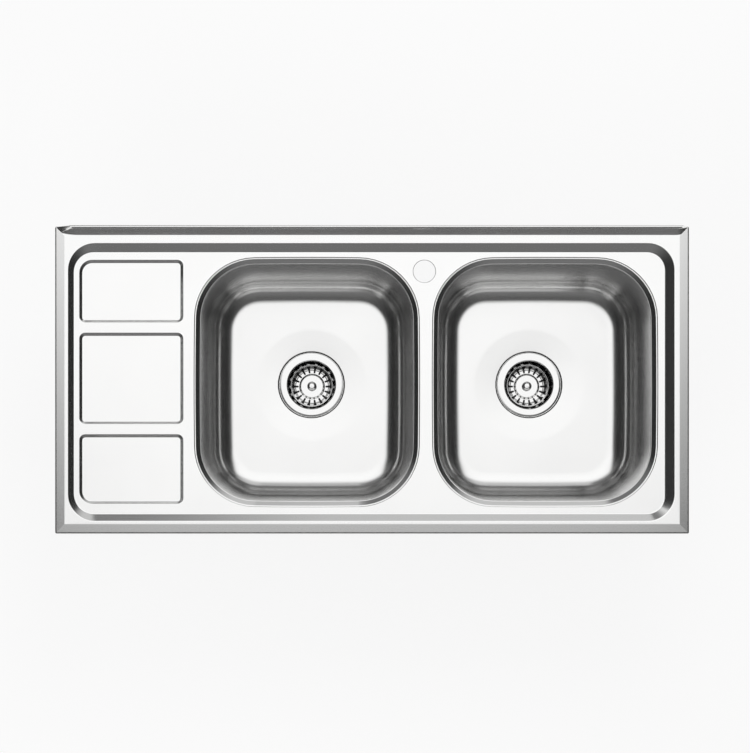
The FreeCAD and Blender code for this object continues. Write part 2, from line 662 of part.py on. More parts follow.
def build_sound_pad(side):
    """A ring of bitumen sheet under the part of the floor that falls to the drain."""
    body = new_body(f"{side}_sound_pad")
    inner = f"({SEAT_RADIUS} + seat_run + pad_inner_clearance)"
    outer = "(fall_radius - pad_outer_margin)"
    run = f"(fall_radius - {SEAT_RADIUS} - seat_run - {seat_growth(1)})"
    under = f"{BOWL_FLOOR} - sheet_gauge"
    low = f"{under} - fall_drop * (fall_radius - {inner}) / {run}"
    high = f"{under} - fall_drop * (fall_radius - {outer}) / {run}"
    add_turned(body, "Pad", [(inner, low), (outer, high), (outer, f"{high} - pad_thickness"),
                             (inner, f"{low} - pad_thickness")], drain_centre(side))
    return body


# ---------------------------------------------------------------- strip, rails and brackets

def build_sealing_strip():
    body = new_body("sealing_strip")
    sketch = new_sketch(body, "Outline")
    half_length, half_depth = f"({DECK_LENGTH} / 2)", f"({DECK_DEPTH} / 2)"
    for inset in ("strip_inset", "(strip_inset + strip_width)"):
        x, y = f"({half_length} - {inset})", f"({half_depth} - {inset})"
        draw_polygon(sketch, [(f"-{x}", f"-{y}"), (x, f"-{y}"), (x, y), (f"-{x}", y)])
    add_pad(body, "Strip", sketch, "strip_thickness")
    return body


def build_rails():
    """Two channels welded under the webs between the trays, open side down."""
    body = new_body("drainer_rails")
    boxes = tray_boxes()
    under = f"({DECK_FLOOR} - sheet_gauge)"
    length = "(tray_width - 2 * rail_end_gap)"
    start = f"({TRAY_LEFT} + rail_end_gap)"
    half, wall = "rail_width / 2", "rail_gauge"
    sketch = new_sketch(body, "Channels", "YZ_Plane", ("0", "0", start))
    for behind, ahead in zip(boxes, boxes[1:]):
        middle = f"({behind['front']} + {ahead['rear']}) / 2"
        foot = f"{under} - rail_height"
        draw_polygon(sketch, [
            (f"{middle} - {half}", foot), (f"{middle} - {half} + {wall}", foot),
            (f"{middle} - {half} + {wall}", f"{under} - {wall}"),
            (f"{middle} + {half} - {wall}", f"{under} - {wall}"),
            (f"{middle} + {half} - {wall}", foot), (f"{middle} + {half}", foot),
            (f"{middle} + {half}", under), (f"{middle} - {half}", under)])
    add_pad(body, "Rails", sketch, length)
    return body


FLANGE_TOP = "(strip_thickness + sheet_gauge)"


def build_brackets():
    """Four angle brackets on the return flange, their legs down inside the cabinet."""
    pieces = []
    for index, (sign, y) in enumerate(bracket_places()):
        body = new_body(f"bracket_{index}")
        sketch = new_sketch(body, "Angle", "XZ_Plane", ("0", "0", f"-({y})"))
        edge = f"({DECK_LENGTH} / 2 - return_flange)"
        leg = f"({edge} - bracket_setback)"
        profile = [(f"{edge} + bracket_reach", FLANGE_TOP),
                   (f"{edge} + bracket_reach", f"{FLANGE_TOP} + bracket_gauge"),
                   (f"{leg} - bracket_gauge", f"{FLANGE_TOP} + bracket_gauge"),
                   (f"{leg} - bracket_gauge", f"{FLANGE_TOP} - bracket_drop"),
                   (leg, f"{FLANGE_TOP} - bracket_drop"), (leg, FLANGE_TOP)]
        draw_polygon(sketch, [(f"{sign} * ({x})", z) for x, z in profile])
        add_pad(body, "Plate", sketch, "bracket_width", symmetric=True)
        rivet = new_sketch(body, "RivetHole", place=("0", "0", f"{FLANGE_TOP} + bracket_gauge"))
        draw_circle(rivet, f"{sign} * ({DECK_LENGTH} / 2 - rivet_inset)", y, "rivet_radius")
        add_pad(body, "RivetCut", rivet, "bracket_gauge", cut=True)
        screw = new_sketch(body, "ScrewHole", "YZ_Plane", ("0", "0", f"{sign} * ({leg})"))
        draw_circle(screw, y, f"{FLANGE_TOP} - bracket_hole_drop", "bracket_hole")
        add_pad(body, "ScrewCut", screw, "4 * bracket_gauge", cut=True, symmetric=True)
        pieces.append(body)
    return group("fixing_brackets", pieces)


def build_rivets():
    """One rivet through each bracket's foot and the return flange."""
    pieces = []
    for index, (sign, y) in enumerate(bracket_places()):
        body = new_body(f"rivet_{index}")
        centre = (f"{sign} * ({DECK_LENGTH} / 2 - rivet_inset)", y)
        top = f"{FLANGE_TOP} + bracket_gauge"
        add_turned(body, "Rivet", [
            ("0", f"{top} + rivet_head_height"), ("0", "strip_thickness - rivet_tail_height"),
            ("rivet_head_radius - rivet_head_height", "strip_thickness - rivet_tail_height"),
            ("rivet_head_radius - rivet_head_height", "strip_thickness"),
            ("rivet_radius", "strip_thickness"), ("rivet_radius", top),
            ("rivet_head_radius", top),
            ("rivet_head_radius - rivet_head_height", f"{top} + rivet_head_height")], centre)
        pieces.append(body)
    return group("bracket_rivets", pieces)


def group(name, pieces):
    """Like pieces under one name, each still a solid of its own."""
    result = document.addObject("Part::Compound", name)
    result.Label = name
    result.Links = pieces
    document.recompute()
    return result


# ---------------------------------------------------------------- strainer cup and waste

CUP_EDGE = f"({SEAT_TOP} + flange_seal_thickness)"
CUP_WALL_FOOT = f"({CUP_EDGE} - cup_wall_depth)"
CONE_FOOT = f"({CUP_WALL_FOOT} - cup_cone_run)"
CUP_FLOOR = f"({CONE_FOOT} - cup_well_depth)"
CUP_WALL_RADIUS = "(cup_mouth_radius - cup_wall_draft)"
CONE_RADIUS = f"({CUP_WALL_RADIUS} - cup_cone_run)"
WELL_RADIUS = f"({CONE_RADIUS} - cup_well_draft)"


def build_strainer_cup(side):
    """Flange, wall, seat cone and ported well, pressed in one piece."""
    body = new_body(f"{side}_strainer_cup")
    edge, crown = CUP_EDGE, f"({CUP_EDGE} + cup_flange_crown)"
    gauge = "cup_gauge"
    roll = "(cup_mouth_radius + cup_mouth_roll)"
    add_turned(body, "Cup", [
        ("cup_flange_radius", edge), ("cup_flange_radius", f"{edge} + {gauge}"),
        ("cup_flange_radius - cup_flange_crown", f"{crown} + {gauge}"),
        (roll, f"{crown} + {gauge}"), ("cup_mouth_radius", f"{edge} - {gauge}"),
        (CUP_WALL_RADIUS, CUP_WALL_FOOT), (CONE_RADIUS, CONE_FOOT), (WELL_RADIUS, CUP_FLOOR),
        ("screw_radius + screw_clearance", CUP_FLOOR),
        ("screw_radius + screw_clearance", f"{CUP_FLOOR} - {gauge}"),
        (f"{WELL_RADIUS} + {gauge}", f"{CUP_FLOOR} - {gauge}"),
        (f"{CONE_RADIUS} + {gauge}", f"{CONE_FOOT} - {gauge} / 2"),
        (f"{CUP_WALL_RADIUS} + {gauge}", f"{CUP_WALL_FOOT} - {gauge} / 2"),
        (f"cup_mouth_radius + {gauge}", f"{edge} - {gauge}"), (f"{roll} + {gauge} / 2", edge)],
        drain_centre(side))
    ports = new_sketch(body, "Port", place=("0", "0", CUP_FLOOR))
    draw_port(ports, side)
    port = add_pad(body, "PortCut", ports, f"2 * {gauge}", cut=True)
    centre = new_sketch(body, "PortAxis", place=(*drain_centre(side), "0"))
    add_polar_pattern(body, "Ports", port, centre, "cup_port_count")
    return body


def draw_port(sketch, side):
    """One outlet port: a four-sided opening between two webs."""
    x, y = drain_centre(side)
    near, far, half = "cup_port_inner", "cup_port_outer", "cup_port_web / 2"
    start = f"{near} * cos({MITRE}) + {half}"
    middle = f"{far} * cos({MITRE})"
    end = f"sqrt({far} * {far} - {half} * {half})"
    draw_polygon(sketch, [
        (f"{x} + {start}", f"{y} + {half}"), (f"{x} + {end}", f"{y} + {half}"),
        (f"{x} + {middle}", f"{y} + {middle}"), (f"{x} + {half}", f"{y} + {end}"),
        (f"{x} + {half}", f"{y} + {start}")])


def build_ring(name, side, inner, outer, low, high):
    body = new_body(f"{side}_{name}")
    add_turned(body, "Ring", [(inner, low), (outer, low), (outer, high), (inner, high)],
               drain_centre(side))
    return body


def build_flange_seal(side):
    return build_ring("flange_seal", side, "(drain_hole + flange_seal_margin)",
                      "(cup_flange_radius - flange_seal_margin)", SEAT_TOP, CUP_EDGE)


GASKET_INNER = "(drain_hole + gasket_margin)"
GASKET_OUTER = f"({GASKET_INNER} + gasket_width)"
BODY_TOP = f"({SEAT_UNDER} - gasket_thickness)"


def build_body_gasket(side):
    return build_ring("body_gasket", side, GASKET_INNER, GASKET_OUTER, BODY_TOP, SEAT_UNDER)


CONE_TOP = f"({CUP_FLOOR} - cup_gauge - body_floor_clearance)"
OUTLET_TOP = f"({CONE_TOP} - body_cone_drop)"
OUTLET_END = f"({OUTLET_TOP} - outlet_length)"
HUB_TOP = f"({CUP_FLOOR} - cup_gauge - hub_gap)"
HUB_END = f"({HUB_TOP} - hub_length)"
INSERT_END = f"({HUB_TOP} - insert_length)"


def build_waste_body(side):
    """Moulded funnel from the gasket to the threaded outlet, with a hub on four webs."""
    body = new_body(f"{side}_waste_body")
    bore = "(cup_mouth_radius + cup_gauge + body_cup_clearance)"
    rim = f"({GASKET_OUTER} + body_rim_margin)"
    add_turned(body, "Funnel", [
        (bore, BODY_TOP), (rim, BODY_TOP), (rim, f"{BODY_TOP} - body_rim_height"),
        (f"{bore} + body_wall", f"{BODY_TOP} - body_rim_height"),
        (f"{bore} + body_wall", f"{CONE_TOP} - body_wall"),
        ("outlet_radius", f"{OUTLET_TOP} - body_wall"), ("outlet_radius", OUTLET_END),
        ("outlet_radius - body_wall", OUTLET_END), ("outlet_radius - body_wall", OUTLET_TOP),
        (bore, CONE_TOP)], drain_centre(side))
    x, y = drain_centre(side)
    hub = new_sketch(body, "HubOutline", place=("0", "0", HUB_END))
    draw_circle(hub, x, y, "hub_radius")
    add_pad(body, "Hub", hub, "hub_length")
    half, reach = "web_thickness / 2", f"({bore} + body_wall / 2)"
    for name, wide, deep in (("CrossWeb", reach, half), ("LongWeb", half, reach)):
        web = new_sketch(body, name + "Outline", place=("0", "0", CONE_TOP))
        draw_polygon(web, [(f"{x} - {wide}", f"{y} - {deep}"), (f"{x} + {wide}", f"{y} - {deep}"),
                           (f"{x} + {wide}", f"{y} + {deep}"), (f"{x} - {wide}", f"{y} + {deep}")])
        add_pad(body, name, web, f"{HUB_TOP} - web_drop - {CONE_TOP}")
    socket = new_sketch(body, "InsertSocket", place=("0", "0", HUB_TOP))
    draw_circle(socket, x, y, "insert_radius")
    add_pad(body, "SocketCut", socket, "insert_length", cut=True)
    return body


def build_insert(side):
    return build_ring("waste_insert", side, "screw_radius", "insert_radius", INSERT_END, HUB_TOP)


def build_clamp_screw(side):
    """Slotted screw from the cup's well down into the insert."""
    body = new_body(f"{side}_clamp_screw")
    head = f"({CUP_FLOOR} + screw_head_height)"
    add_turned(body, "Screw", [
        ("0", head), ("0", f"{HUB_TOP} - screw_engagement"),
        ("screw_radius", f"{HUB_TOP} - screw_engagement"), ("screw_radius", CUP_FLOOR),
        ("screw_head_radius", CUP_FLOOR),
        ("screw_head_radius", f"{CUP_FLOOR} + screw_head_height / 2"),
        ("screw_head_radius - screw_head_height / 2", head)], drain_centre(side))
    slot = new_sketch(body, "Slot", place=("0", "0", head))
    x, y = drain_centre(side)
    half = "screw_slot_width / 2"
    draw_polygon(slot, [
        (f"{x} - screw_head_radius", f"{y} - {half}"), (f"{x} + screw_head_radius", f"{y} - {half}"),
        (f"{x} + screw_head_radius", f"{y} + {half}"), (f"{x} - screw_head_radius", f"{y} + {half}")])
    add_pad(body, "SlotCut", slot, "screw_slot_depth", cut=True)
    return body


# ---------------------------------------------------------------- basket

RIM_LEVEL = f"({CUP_EDGE} - basket_rim_drop)"
BASKET_FLOOR = f"({RIM_LEVEL} - basket_rim_roll - basket_wall_height)"
BASKET_UNDER = f"({BASKET_FLOOR} - basket_gauge)"
WALL_HEAD = "(basket_rim_radius - basket_rim_width + basket_gauge)"
WALL_FOOT = f"({WALL_HEAD} - basket_wall_lean)"
DOME_TOP = f"({BASKET_FLOOR} + basket_dome_height)"


def build_basket(side):
    """Rolled rim, slotted cone and a slotted floor round a raised centre."""
    body = new_body(f"{side}_basket")
    gauge = "basket_gauge"
    roll = "basket_rim_roll"
    dome = "(basket_dome_radius - basket_dome_run)"
    inner = f"({WALL_HEAD} - {gauge})"
    add_turned(body, "Shell", [
        (WALL_HEAD, f"{RIM_LEVEL} - {roll}"), (WALL_FOOT, BASKET_UNDER),
        ("basket_dome_radius", BASKET_UNDER), (dome, f"{DOME_TOP} - {gauge}"),
        ("stem_radius", f"{DOME_TOP} - {gauge}"), ("stem_radius", DOME_TOP),
        (f"{dome} + {gauge} / 2", DOME_TOP), (f"basket_dome_radius + {gauge} / 2", BASKET_FLOOR),
        (f"{WALL_FOOT} - {gauge}", BASKET_FLOOR), (inner, f"{RIM_LEVEL} - {roll}"),
        (inner, f"{RIM_LEVEL} + {roll} / 2"), (f"{inner} + {roll} / 2", f"{RIM_LEVEL} + {roll}"),
        (f"basket_rim_radius - {roll} / 2", f"{RIM_LEVEL} + {roll}"),
        ("basket_rim_radius", f"{RIM_LEVEL} + {roll} / 2"),
        ("basket_rim_radius", f"{RIM_LEVEL} - {roll} / 2"),
        (f"basket_rim_radius - {roll} / 2", f"{RIM_LEVEL} - {roll}")],
        drain_centre(side))
    add_wall_slots(body, side)
    add_floor_slots(body, side)
    return body


def add_wall_slots(body, side):
    slot = new_sketch(body, "Slot", "YZ_Plane", (DRAIN_Y, "0", DRAIN_X[side]))
    middle = f"({RIM_LEVEL} - basket_rim_roll + {BASKET_FLOOR}) / 2"
    wide, tall = "basket_slot_width / 2", "basket_slot_height / 2"
    draw_polygon(slot, [(f"-{wide}", f"{middle} - {tall}"), (wide, f"{middle} - {tall}"),
                        (wide, f"{middle} + {tall}"), (f"-{wide}", f"{middle} + {tall}")])
    cut = add_pad(body, "SlotCut", slot, "2 * basket_rim_radius", cut=True, downward=True)
    axis = new_sketch(body, "SlotAxis", place=(*drain_centre(side), "0"))
    add_polar_pattern(body, "Slots", cut, axis, "basket_slot_count")


def add_floor_slots(body, side):
    slot = new_sketch(body, "FloorSlot", place=(*drain_centre(side), BASKET_FLOOR))
    start = "basket_dome_radius + floor_slot_margin"
    end = f"{WALL_FOOT} - basket_gauge - floor_slot_margin"
    half = "floor_slot_width / 2"
    draw_polygon(slot, [(start, f"-{half}"), (end, f"-{half}"), (end, half), (start, half)])
    cut = add_pad(body, "FloorSlotCut", slot, "2 * basket_gauge", cut=True)
    add_polar_pattern(body, "FloorSlots", cut, slot, "basket_slot_count")


def build_stopper(side):
    """Rubber disc under the basket, its lower edge just clear of the cup's seat cone."""
    body = new_body(f"{side}_basket_stopper")
    foot = f"({BASKET_UNDER} - stopper_thickness)"
    low = f"({CONE_RADIUS} + {foot} - {CONE_FOOT} - stopper_gap * sqrt(2))"
    add_turned(body, "Disc", [
        ("stem_radius", BASKET_UNDER), (f"{low} + stopper_taper", BASKET_UNDER), (low, foot),
        ("stopper_bore", foot), ("stopper_bore", f"{BASKET_UNDER} - stopper_web"),
        ("stem_radius", f"{BASKET_UNDER} - stopper_web")], drain_centre(side))
    return body


def build_knob(side):
    """Turned knob on a stem that passes through the basket and is spread under the stopper."""
    body = new_body(f"{side}_basket_knob")
    base = f"({DOME_TOP} + knob_rise - knob_height)"
    top = f"({DOME_TOP} + knob_rise)"
    foot = f"({BASKET_UNDER} - stopper_web)"
    add_turned(body, "Knob", [
        ("0", top), ("0", f"{foot} - sheet_gauge"),
        ("stem_radius + sheet_gauge", f"{foot} - sheet_gauge"), ("stem_radius + sheet_gauge", foot),
        ("stem_radius", foot), ("stem_radius", base), ("knob_radius - knob_edge", base),
        ("knob_radius", f"{base} + knob_edge"), ("knob_radius", f"{top} - knob_edge"),
        ("knob_radius - knob_edge", top)], drain_centre(side))
    return body


# ---------------------------------------------------------------- assembly and export

def build_all():
    nodes = [build_deck(), build_sealing_strip(), build_rails(), build_brackets(), build_rivets()]
    makers = [build_bowl, build_sound_pad, build_strainer_cup, build_flange_seal,
              build_body_gasket, build_waste_body, build_insert, build_clamp_screw,
              build_basket, build_stopper, build_knob]
    for side in SIDES:
        nodes += [maker(side) for maker in makers]
    return nodes


def check(nodes):
    """Stop before anything is written if a feature failed or a shape is empty or invalid."""
    for item in document.Objects:
        if {"Invalid", "Error"} & set(item.State):
            raise RuntimeError(f"{item.Label} failed: {item.getStatusString()}")
    for node in nodes:
        if node.Shape.isNull() or not node.Shape.isValid() or not node.Shape.Solids:
            raise RuntimeError(f"{node.Label} has no valid solid")


def export(nodes):
    os.makedirs("parts", exist_ok=True)
    for node in nodes:
        node.Shape.exportStep(os.path.join("parts", node.Label + ".step"))


nodes = build_all()
document.recompute()
check(nodes)
export(nodes)
for node in nodes:
    shape = node.Shape
    print(f"{node.Label:24s} solids {len(shape.Solids)}  volume {shape.Volume:10.0f}")
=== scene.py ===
"""A lay-on kitchen sink with a drainer, two bowls and a basket strainer in each bowl."""
import math

import bmesh
import bpy
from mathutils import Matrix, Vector


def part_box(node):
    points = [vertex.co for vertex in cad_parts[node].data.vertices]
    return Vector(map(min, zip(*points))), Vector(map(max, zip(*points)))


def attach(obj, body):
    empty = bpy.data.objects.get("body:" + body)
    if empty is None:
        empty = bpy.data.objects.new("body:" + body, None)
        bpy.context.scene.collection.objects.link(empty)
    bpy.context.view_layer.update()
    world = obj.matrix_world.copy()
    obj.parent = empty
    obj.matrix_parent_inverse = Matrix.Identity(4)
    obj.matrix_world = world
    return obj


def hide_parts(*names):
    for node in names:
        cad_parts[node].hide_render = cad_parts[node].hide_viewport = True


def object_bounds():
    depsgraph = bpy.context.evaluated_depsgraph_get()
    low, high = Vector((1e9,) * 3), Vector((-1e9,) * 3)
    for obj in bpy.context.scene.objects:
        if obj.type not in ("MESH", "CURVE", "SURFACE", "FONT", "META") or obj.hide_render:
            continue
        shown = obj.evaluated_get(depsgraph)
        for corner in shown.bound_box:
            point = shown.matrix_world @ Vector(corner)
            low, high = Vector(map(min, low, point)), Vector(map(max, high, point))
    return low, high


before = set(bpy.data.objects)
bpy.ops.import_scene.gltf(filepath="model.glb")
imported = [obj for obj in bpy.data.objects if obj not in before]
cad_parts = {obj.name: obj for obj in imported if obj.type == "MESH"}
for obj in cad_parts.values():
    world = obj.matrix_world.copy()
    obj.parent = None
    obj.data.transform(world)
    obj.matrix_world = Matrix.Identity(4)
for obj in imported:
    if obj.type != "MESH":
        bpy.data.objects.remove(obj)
cad_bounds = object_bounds()

bl_info = {
    "name": "Double bowl sink",
    "version": (1, 0, 0),
    "blender": (4, 5, 0),
    "location": "View3D > Sidebar > Sink",
    "description": "Builds a pressed steel sink, its strainers and a plain studio",
    "category": "Add Mesh",
}

MM = 0.001
SIDES = ("left", "right")
DECK_LOW, DECK_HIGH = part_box("deck")

# How finely the outlines are drawn: faces on a rounded corner and round a full turn, then a
# straight side's points, which stand close together towards both of its ends.
CORNER_STEPS = 12
ROUND_STEPS = 144
END_SPACING = 3 * MM
END_STEPS = 8
MIDDLE_STEPS = 8
FALL_STEPS = 6  # rings between a bowl's flat floor and its drain seat
SLOT_COLUMNS = 4  # faces across a basket's slot, and as many across the land beside it
ROW_GAP = 0.7 * MM  # most that two rings of a basket lie apart

PORT_COUNT = 4
PORT_WEB_STEPS = 4

SAME_PLACE = 0.001 * MM
TOUCH = 0.01 * MM
LEAST_RADIUS = 0.2 * MM
LEAD = 3 * MM  # run up to a path's first bend, which only sets the way that it comes from

PICTURE_HIGH = 753
FLOOR_REACH = 8.0
FLOOR_GAP = 0.5 * MM
LAMP_SIZE = 1.0
LAMPS = (("rear_lamp", (0.3, 1.4, 1.6), 12), ("front_lamp", (-0.8, -1.5, 1.5), 8))

# Soft steps of the room's light: from where to where, and the strength at either end.
PANEL_FRONT = (0.11, 0.45, 1.0, 0.0)
PANEL_REAR = (0.6, 1.6, 1.0, 0.0)
WINDOW_LEFT = (-0.14, -0.02, 0.2, 0.72)
WINDOW_RIGHT = (0.3, 1.2, 1.0, 0.1)
WINDOW_FRONT = (0.1, 0.7, 0.0, 1.0)
ROOM_FRONT = (-0.9, -0.1, 0.2, 0.07)
ROOM_SIDES = (0.1, 0.8, 1.0, 0.35)
LEAST_HEIGHT = 0.03
LEAST_BEHIND = 0.05


def length(name, default, description):
    return bpy.props.FloatProperty(
        name=name, default=default, description=description, unit="LENGTH", subtype="DISTANCE",
        min=0, precision=4)


def angle(name, default, description):
    return bpy.props.FloatProperty(
        name=name, default=math.radians(default), description=description, unit="ROTATION",
        subtype="ANGLE")


def share(name, default, description, high=1.0):
    return bpy.props.FloatProperty(
        name=name, default=default, description=description, subtype="FACTOR", min=0, max=high)


def tint(name, default, description):
    return bpy.props.FloatVectorProperty(
        name=name, default=default, description=description, subtype="COLOR", size=3, min=0,
        max=1)


class DeckSizes(bpy.types.PropertyGroup):
    gauge: length("Sheet", 0.8 * MM, "Thickness of the pressed sheet")
    flange: length("Return flange", 18 * MM, "Flange that the rim turns in at its foot")
    rim_corner: length("Outer corner", 3 * MM, "Plan radius of the outer corners")
    rim_roll: length("Rim roll", 2.5 * MM, "Roll of the frame over into the apron")
    rim_fold: length("Rim fold", 1 * MM, "Fold at the foot of the apron")
    frame_fall: length("Frame fall", 1.2 * MM, "How far the frame falls to its outer edge")
    upstand: length("Upstand", 14 * MM, "Rise of the rear upstand above the frame")
    upstand_width: length("Upstand width", 12 * MM, "Width of the upstand at its foot")
    upstand_lean: angle("Upstand lean", 25, "Lean of the upstand's front face")
    upstand_roll: length("Upstand crest", 3.8 * MM, "Radius along the front of the upstand's top")
    upstand_back: length("Upstand back", 3 * MM, "Radius along the back of the upstand's top")
    upstand_foot: length("Upstand foot", 4 * MM, "Radius between frame and upstand")
    left_ramp: length("Left end", 24 * MM, "Run over which the upstand's left end slopes down")
    right_ramp: length("Right end", 8 * MM, "Run over which its right end slopes down")
    frame_left: length("Frame left", 21.4 * MM, "Flat frame left of the recess")
    frame_right: length("Frame right", 23.5 * MM, "Flat frame right of the recess")
    frame_front: length("Frame front", 20.3 * MM, "Flat frame in front of the recess")
    frame_rear: length("Frame rear", 27.5 * MM, "Frame and upstand behind the recess")
    recess: length("Recess", 7 * MM, "Step from the frame down to the recessed floor")
    left_lean: angle("Left lean", 47, "Lean of that step from upright at the left")
    right_lean: angle("Right lean", 64, "Lean of that step at the right")
    front_lean: angle("Front lean", 58, "Lean of that step at the front")
    rear_lean: angle("Rear lean", 60, "Lean of that step at the rear")
    recess_corner: length("Recess corner", 42 * MM, "Plan radius of the recess")
    recess_bend: length("Recess bend", 4 * MM, "Bend at the head and foot of the step")
    tap_radius: length("Tap hole", 17.5 * MM, "Radius of the tap hole")
    tap_edge: length("Tap hole edge", 0.7 * MM, "Soft edge that the punch leaves round the hole")
    tap_aside: length("Tap aside", 12 * MM, "Tap hole to the left of the right bowl")
    tap_back: length("Tap from rear", 70.5 * MM, "Tap hole in front of the rear edge")


class TraySizes(bpy.types.PropertyGroup):
    margin: length("Left margin", 16.8 * MM, "From the recess to the trays")
    width: length("Width", 163.2 * MM, "Width of the trays")
    rear_margin: length("Rear margin", 25.4 * MM, "From the recess to the rear tray")
    front_margin: length("Front margin", 27.4 * MM, "From the recess to the front tray")
    rear: length("Rear tray", 98 * MM, "Length of the rear tray")
    front: length("Front tray", 109 * MM, "Length of the front tray")
    web: length("Web", 17 * MM, "Flat web between two trays")
    depth: length("Depth", 3.5 * MM, "Depth of a tray")
    lean: angle("Lean", 45, "Lean of a tray's wall from upright")
    corner: length("Corner", 9 * MM, "Plan radius of a tray corner")
    outer_corner: length("Outer corner", 20 * MM, "Radius of the corners along the recess")
    bend: length("Bend", 2 * MM, "Bend at the head and foot of a tray's wall")


class BowlSizes(bpy.types.PropertyGroup):
    gap: length("From trays", 17.2 * MM, "From the trays to the left bowl")
    across: length("Length", 357 * MM, "Rim of a bowl, left to right")
    deep: length("Width", 395 * MM, "Rim of a bowl, front to back")
    web: length("Web", 19 * MM, "Flat web between the bowls")
    front_margin: length("Front margin", 21.7 * MM, "From the recess to the bowls")
    corner: length("Corner", 94 * MM, "Plan radius of a bowl's rim")
    bow: length("Bow", 2.5 * MM, "How far a bowl's sides bow out between the corners")
    bevel: length("Bevel", 6 * MM, "Depth of the bevel round the mouth")
    bevel_lean: angle("Bevel lean", 60, "Lean of the bevel from upright")
    edge_step: length("Edge step", 0.9 * MM, "Fine step round the head of the bevel")
    edge_land: length("Edge land", 1.7 * MM, "Narrow flat between that step and the bevel")
    lip_ledge: length("Lip ledge", 1.3 * MM, "Narrow flat at the foot of the bevel")
    mouth_bend: length("Mouth bend", 3 * MM, "Bend of the bowl's flange into its wall")
    lip_bend: length("Lip bend", 4 * MM, "Bend at the foot of the bevel")
    flat_fall: length("Flat fall", 0.1 * MM, "Fall of the narrow flats round the mouth")
    lip: length("Lip", 8 * MM, "Overlap of the deck's lip inside the bowl")
    draft: angle("Draft", 4, "Draft of a bowl's wall")
    floor_radius: length("Floor radius", 34 * MM, "Radius between wall and floor")
    floor_edge: length("Floor edge", 2 * MM, "Flat floor next to that radius")
    seam: length("Seam flange", 7 * MM, "Flange welded under the deck")
    fall_radius: length("Fall", 96 * MM, "Radius where the floor starts to fall to the drain")
    fall: length("Fall depth", 2 * MM, "Fall of the floor to the drain seat")
    seat: length("Seat", 54.5 * MM, "Radius of the drain seat")
    seat_run: length("Seat wall", 1.5 * MM, "Width of the seat's wall, seen from above")
    seat_drop: length("Seat depth", 3.5 * MM, "Depth of the drain seat")
    seat_bend: length("Seat bend", 0.8 * MM, "Bend at the head and foot of the seat's wall")
    hole: length("Drain hole", 44.5 * MM, "Radius of the hole in the floor")


class StrainerSizes(bpy.types.PropertyGroup):
    gauge: length("Sheet", 0.8 * MM, "Sheet of the strainer cup")
    mouth: length("Mouth", 40 * MM, "Inner radius of the flange")
    edge_drop: length("Edge drop", 2.2 * MM, "How far the flange's edge turns down")
    edge_run: length("Edge run", 3 * MM, "Width over which the edge turns down")
    flange_fall: length("Flange fall", 0.15 * MM, "Fall of the flange towards the mouth")
    mouth_run: length("Mouth run", 1.3 * MM, "Width of the bevel round the mouth")
    mouth_drop: length("Mouth drop", 1.1 * MM, "Depth of the bevel round the mouth")
    taper: length("Taper", 1.6 * MM, "Narrowing of the cup's wall")
    cone: length("Seat cone", 7 * MM, "Run and drop of the stopper's seat")
    well: length("Well", 5 * MM, "Depth of the well under the cone")
    well_taper: length("Well taper", 1.5 * MM, "Narrowing of the well")
    screw_hole: length("Screw hole", 3.3 * MM, "Radius of the clamp screw's hole")
    port_inner: length("Port start", 11 * MM, "Inner radius of the outlet ports")
    port_outer: length("Port end", 25 * MM, "Outer radius of the outlet ports")
    basket_gauge: length("Basket sheet", 0.7 * MM, "Sheet of the basket")
    rim_width: length("Basket rim", 2.2 * MM, "Width of the basket's rolled rim")
    collar: length("Basket collar", 3.5 * MM, "Plain collar under the basket's rim")
    collar_lean: length("Collar taper", 0.4 * MM, "Narrowing of that collar")
    wall_lean: length("Basket taper", 4.8 * MM, "Narrowing of the basket's wall")
    dome: length("Dome", 21.5 * MM, "Radius of the basket's raised centre")
    dome_rise: length("Dome height", 4 * MM, "Height of the raised centre")
    dome_run: length("Dome run", 2.5 * MM, "Run of the dome's side")
    slots: bpy.props.IntProperty(name="Slots", default=18, min=3,
                                 description="Slots round the basket")
    wall_slot: length("Wall slot", 6.6 * MM, "Width of a slot in the basket's wall")
    floor_slot: length("Floor slot", 3.2 * MM, "Width of a slot in the basket's floor")
    slot_top: length("Slot start", 4 * MM, "Top of a slot below the basket's rim")
    slot_end: length("Slot end", 0.8 * MM, "From the end of a slot to the raised centre")
    stem: length("Stem", 3.2 * MM, "Radius of the knob's stem")
    stem_foot: length("Stem foot", 0.8 * MM, "Height and overhang of the stem's riveted foot")
    crown: length("Knob crown", 4.2 * MM, "Radius of the nearly flat top of the knob")
    head: length("Knob head", 6.5 * MM, "Height of the knob above its stem")
    pip: length("Turning mark", 0.3 * MM, "Radius of the small flat at the knob's middle")


class SinkFinish(bpy.types.PropertyGroup):
    sheet: tint("Sheet", (0.94, 0.94, 0.935), "Colour of the brushed sheet")
    sheet_dark: tint("Sheet grain", (0.90, 0.90, 0.895), "Colour in the grain of the sheet")
    polish: tint("Polished steel", (0.93, 0.93, 0.925), "Colour of the strainers")
    zinc: tint("Zinc", (0.55, 0.56, 0.57), "Colour of the galvanised fittings")
    rubber: tint("Rubber", (0.025, 0.025, 0.027), "Colour of stoppers and gaskets")
    foam: tint("Foam", (0.10, 0.10, 0.105), "Colour of the sealing strip")
    bitumen: tint("Bitumen", (0.045, 0.043, 0.042), "Colour of the sound pads")
    plastic: tint("Plastic", (0.82, 0.82, 0.80), "Colour of the waste bodies")
    brass: tint("Brass", (0.75, 0.56, 0.27), "Colour of the inserts")
    sheet_roughness: share("Sheet roughness", 0.17, "Roughness of the brushed sheet")
    bowl_roughness: share("Bowl roughness", 0.2, "Roughness of the bowls")
    polish_roughness: share("Polish roughness", 0.12, "Roughness of the polished steel")


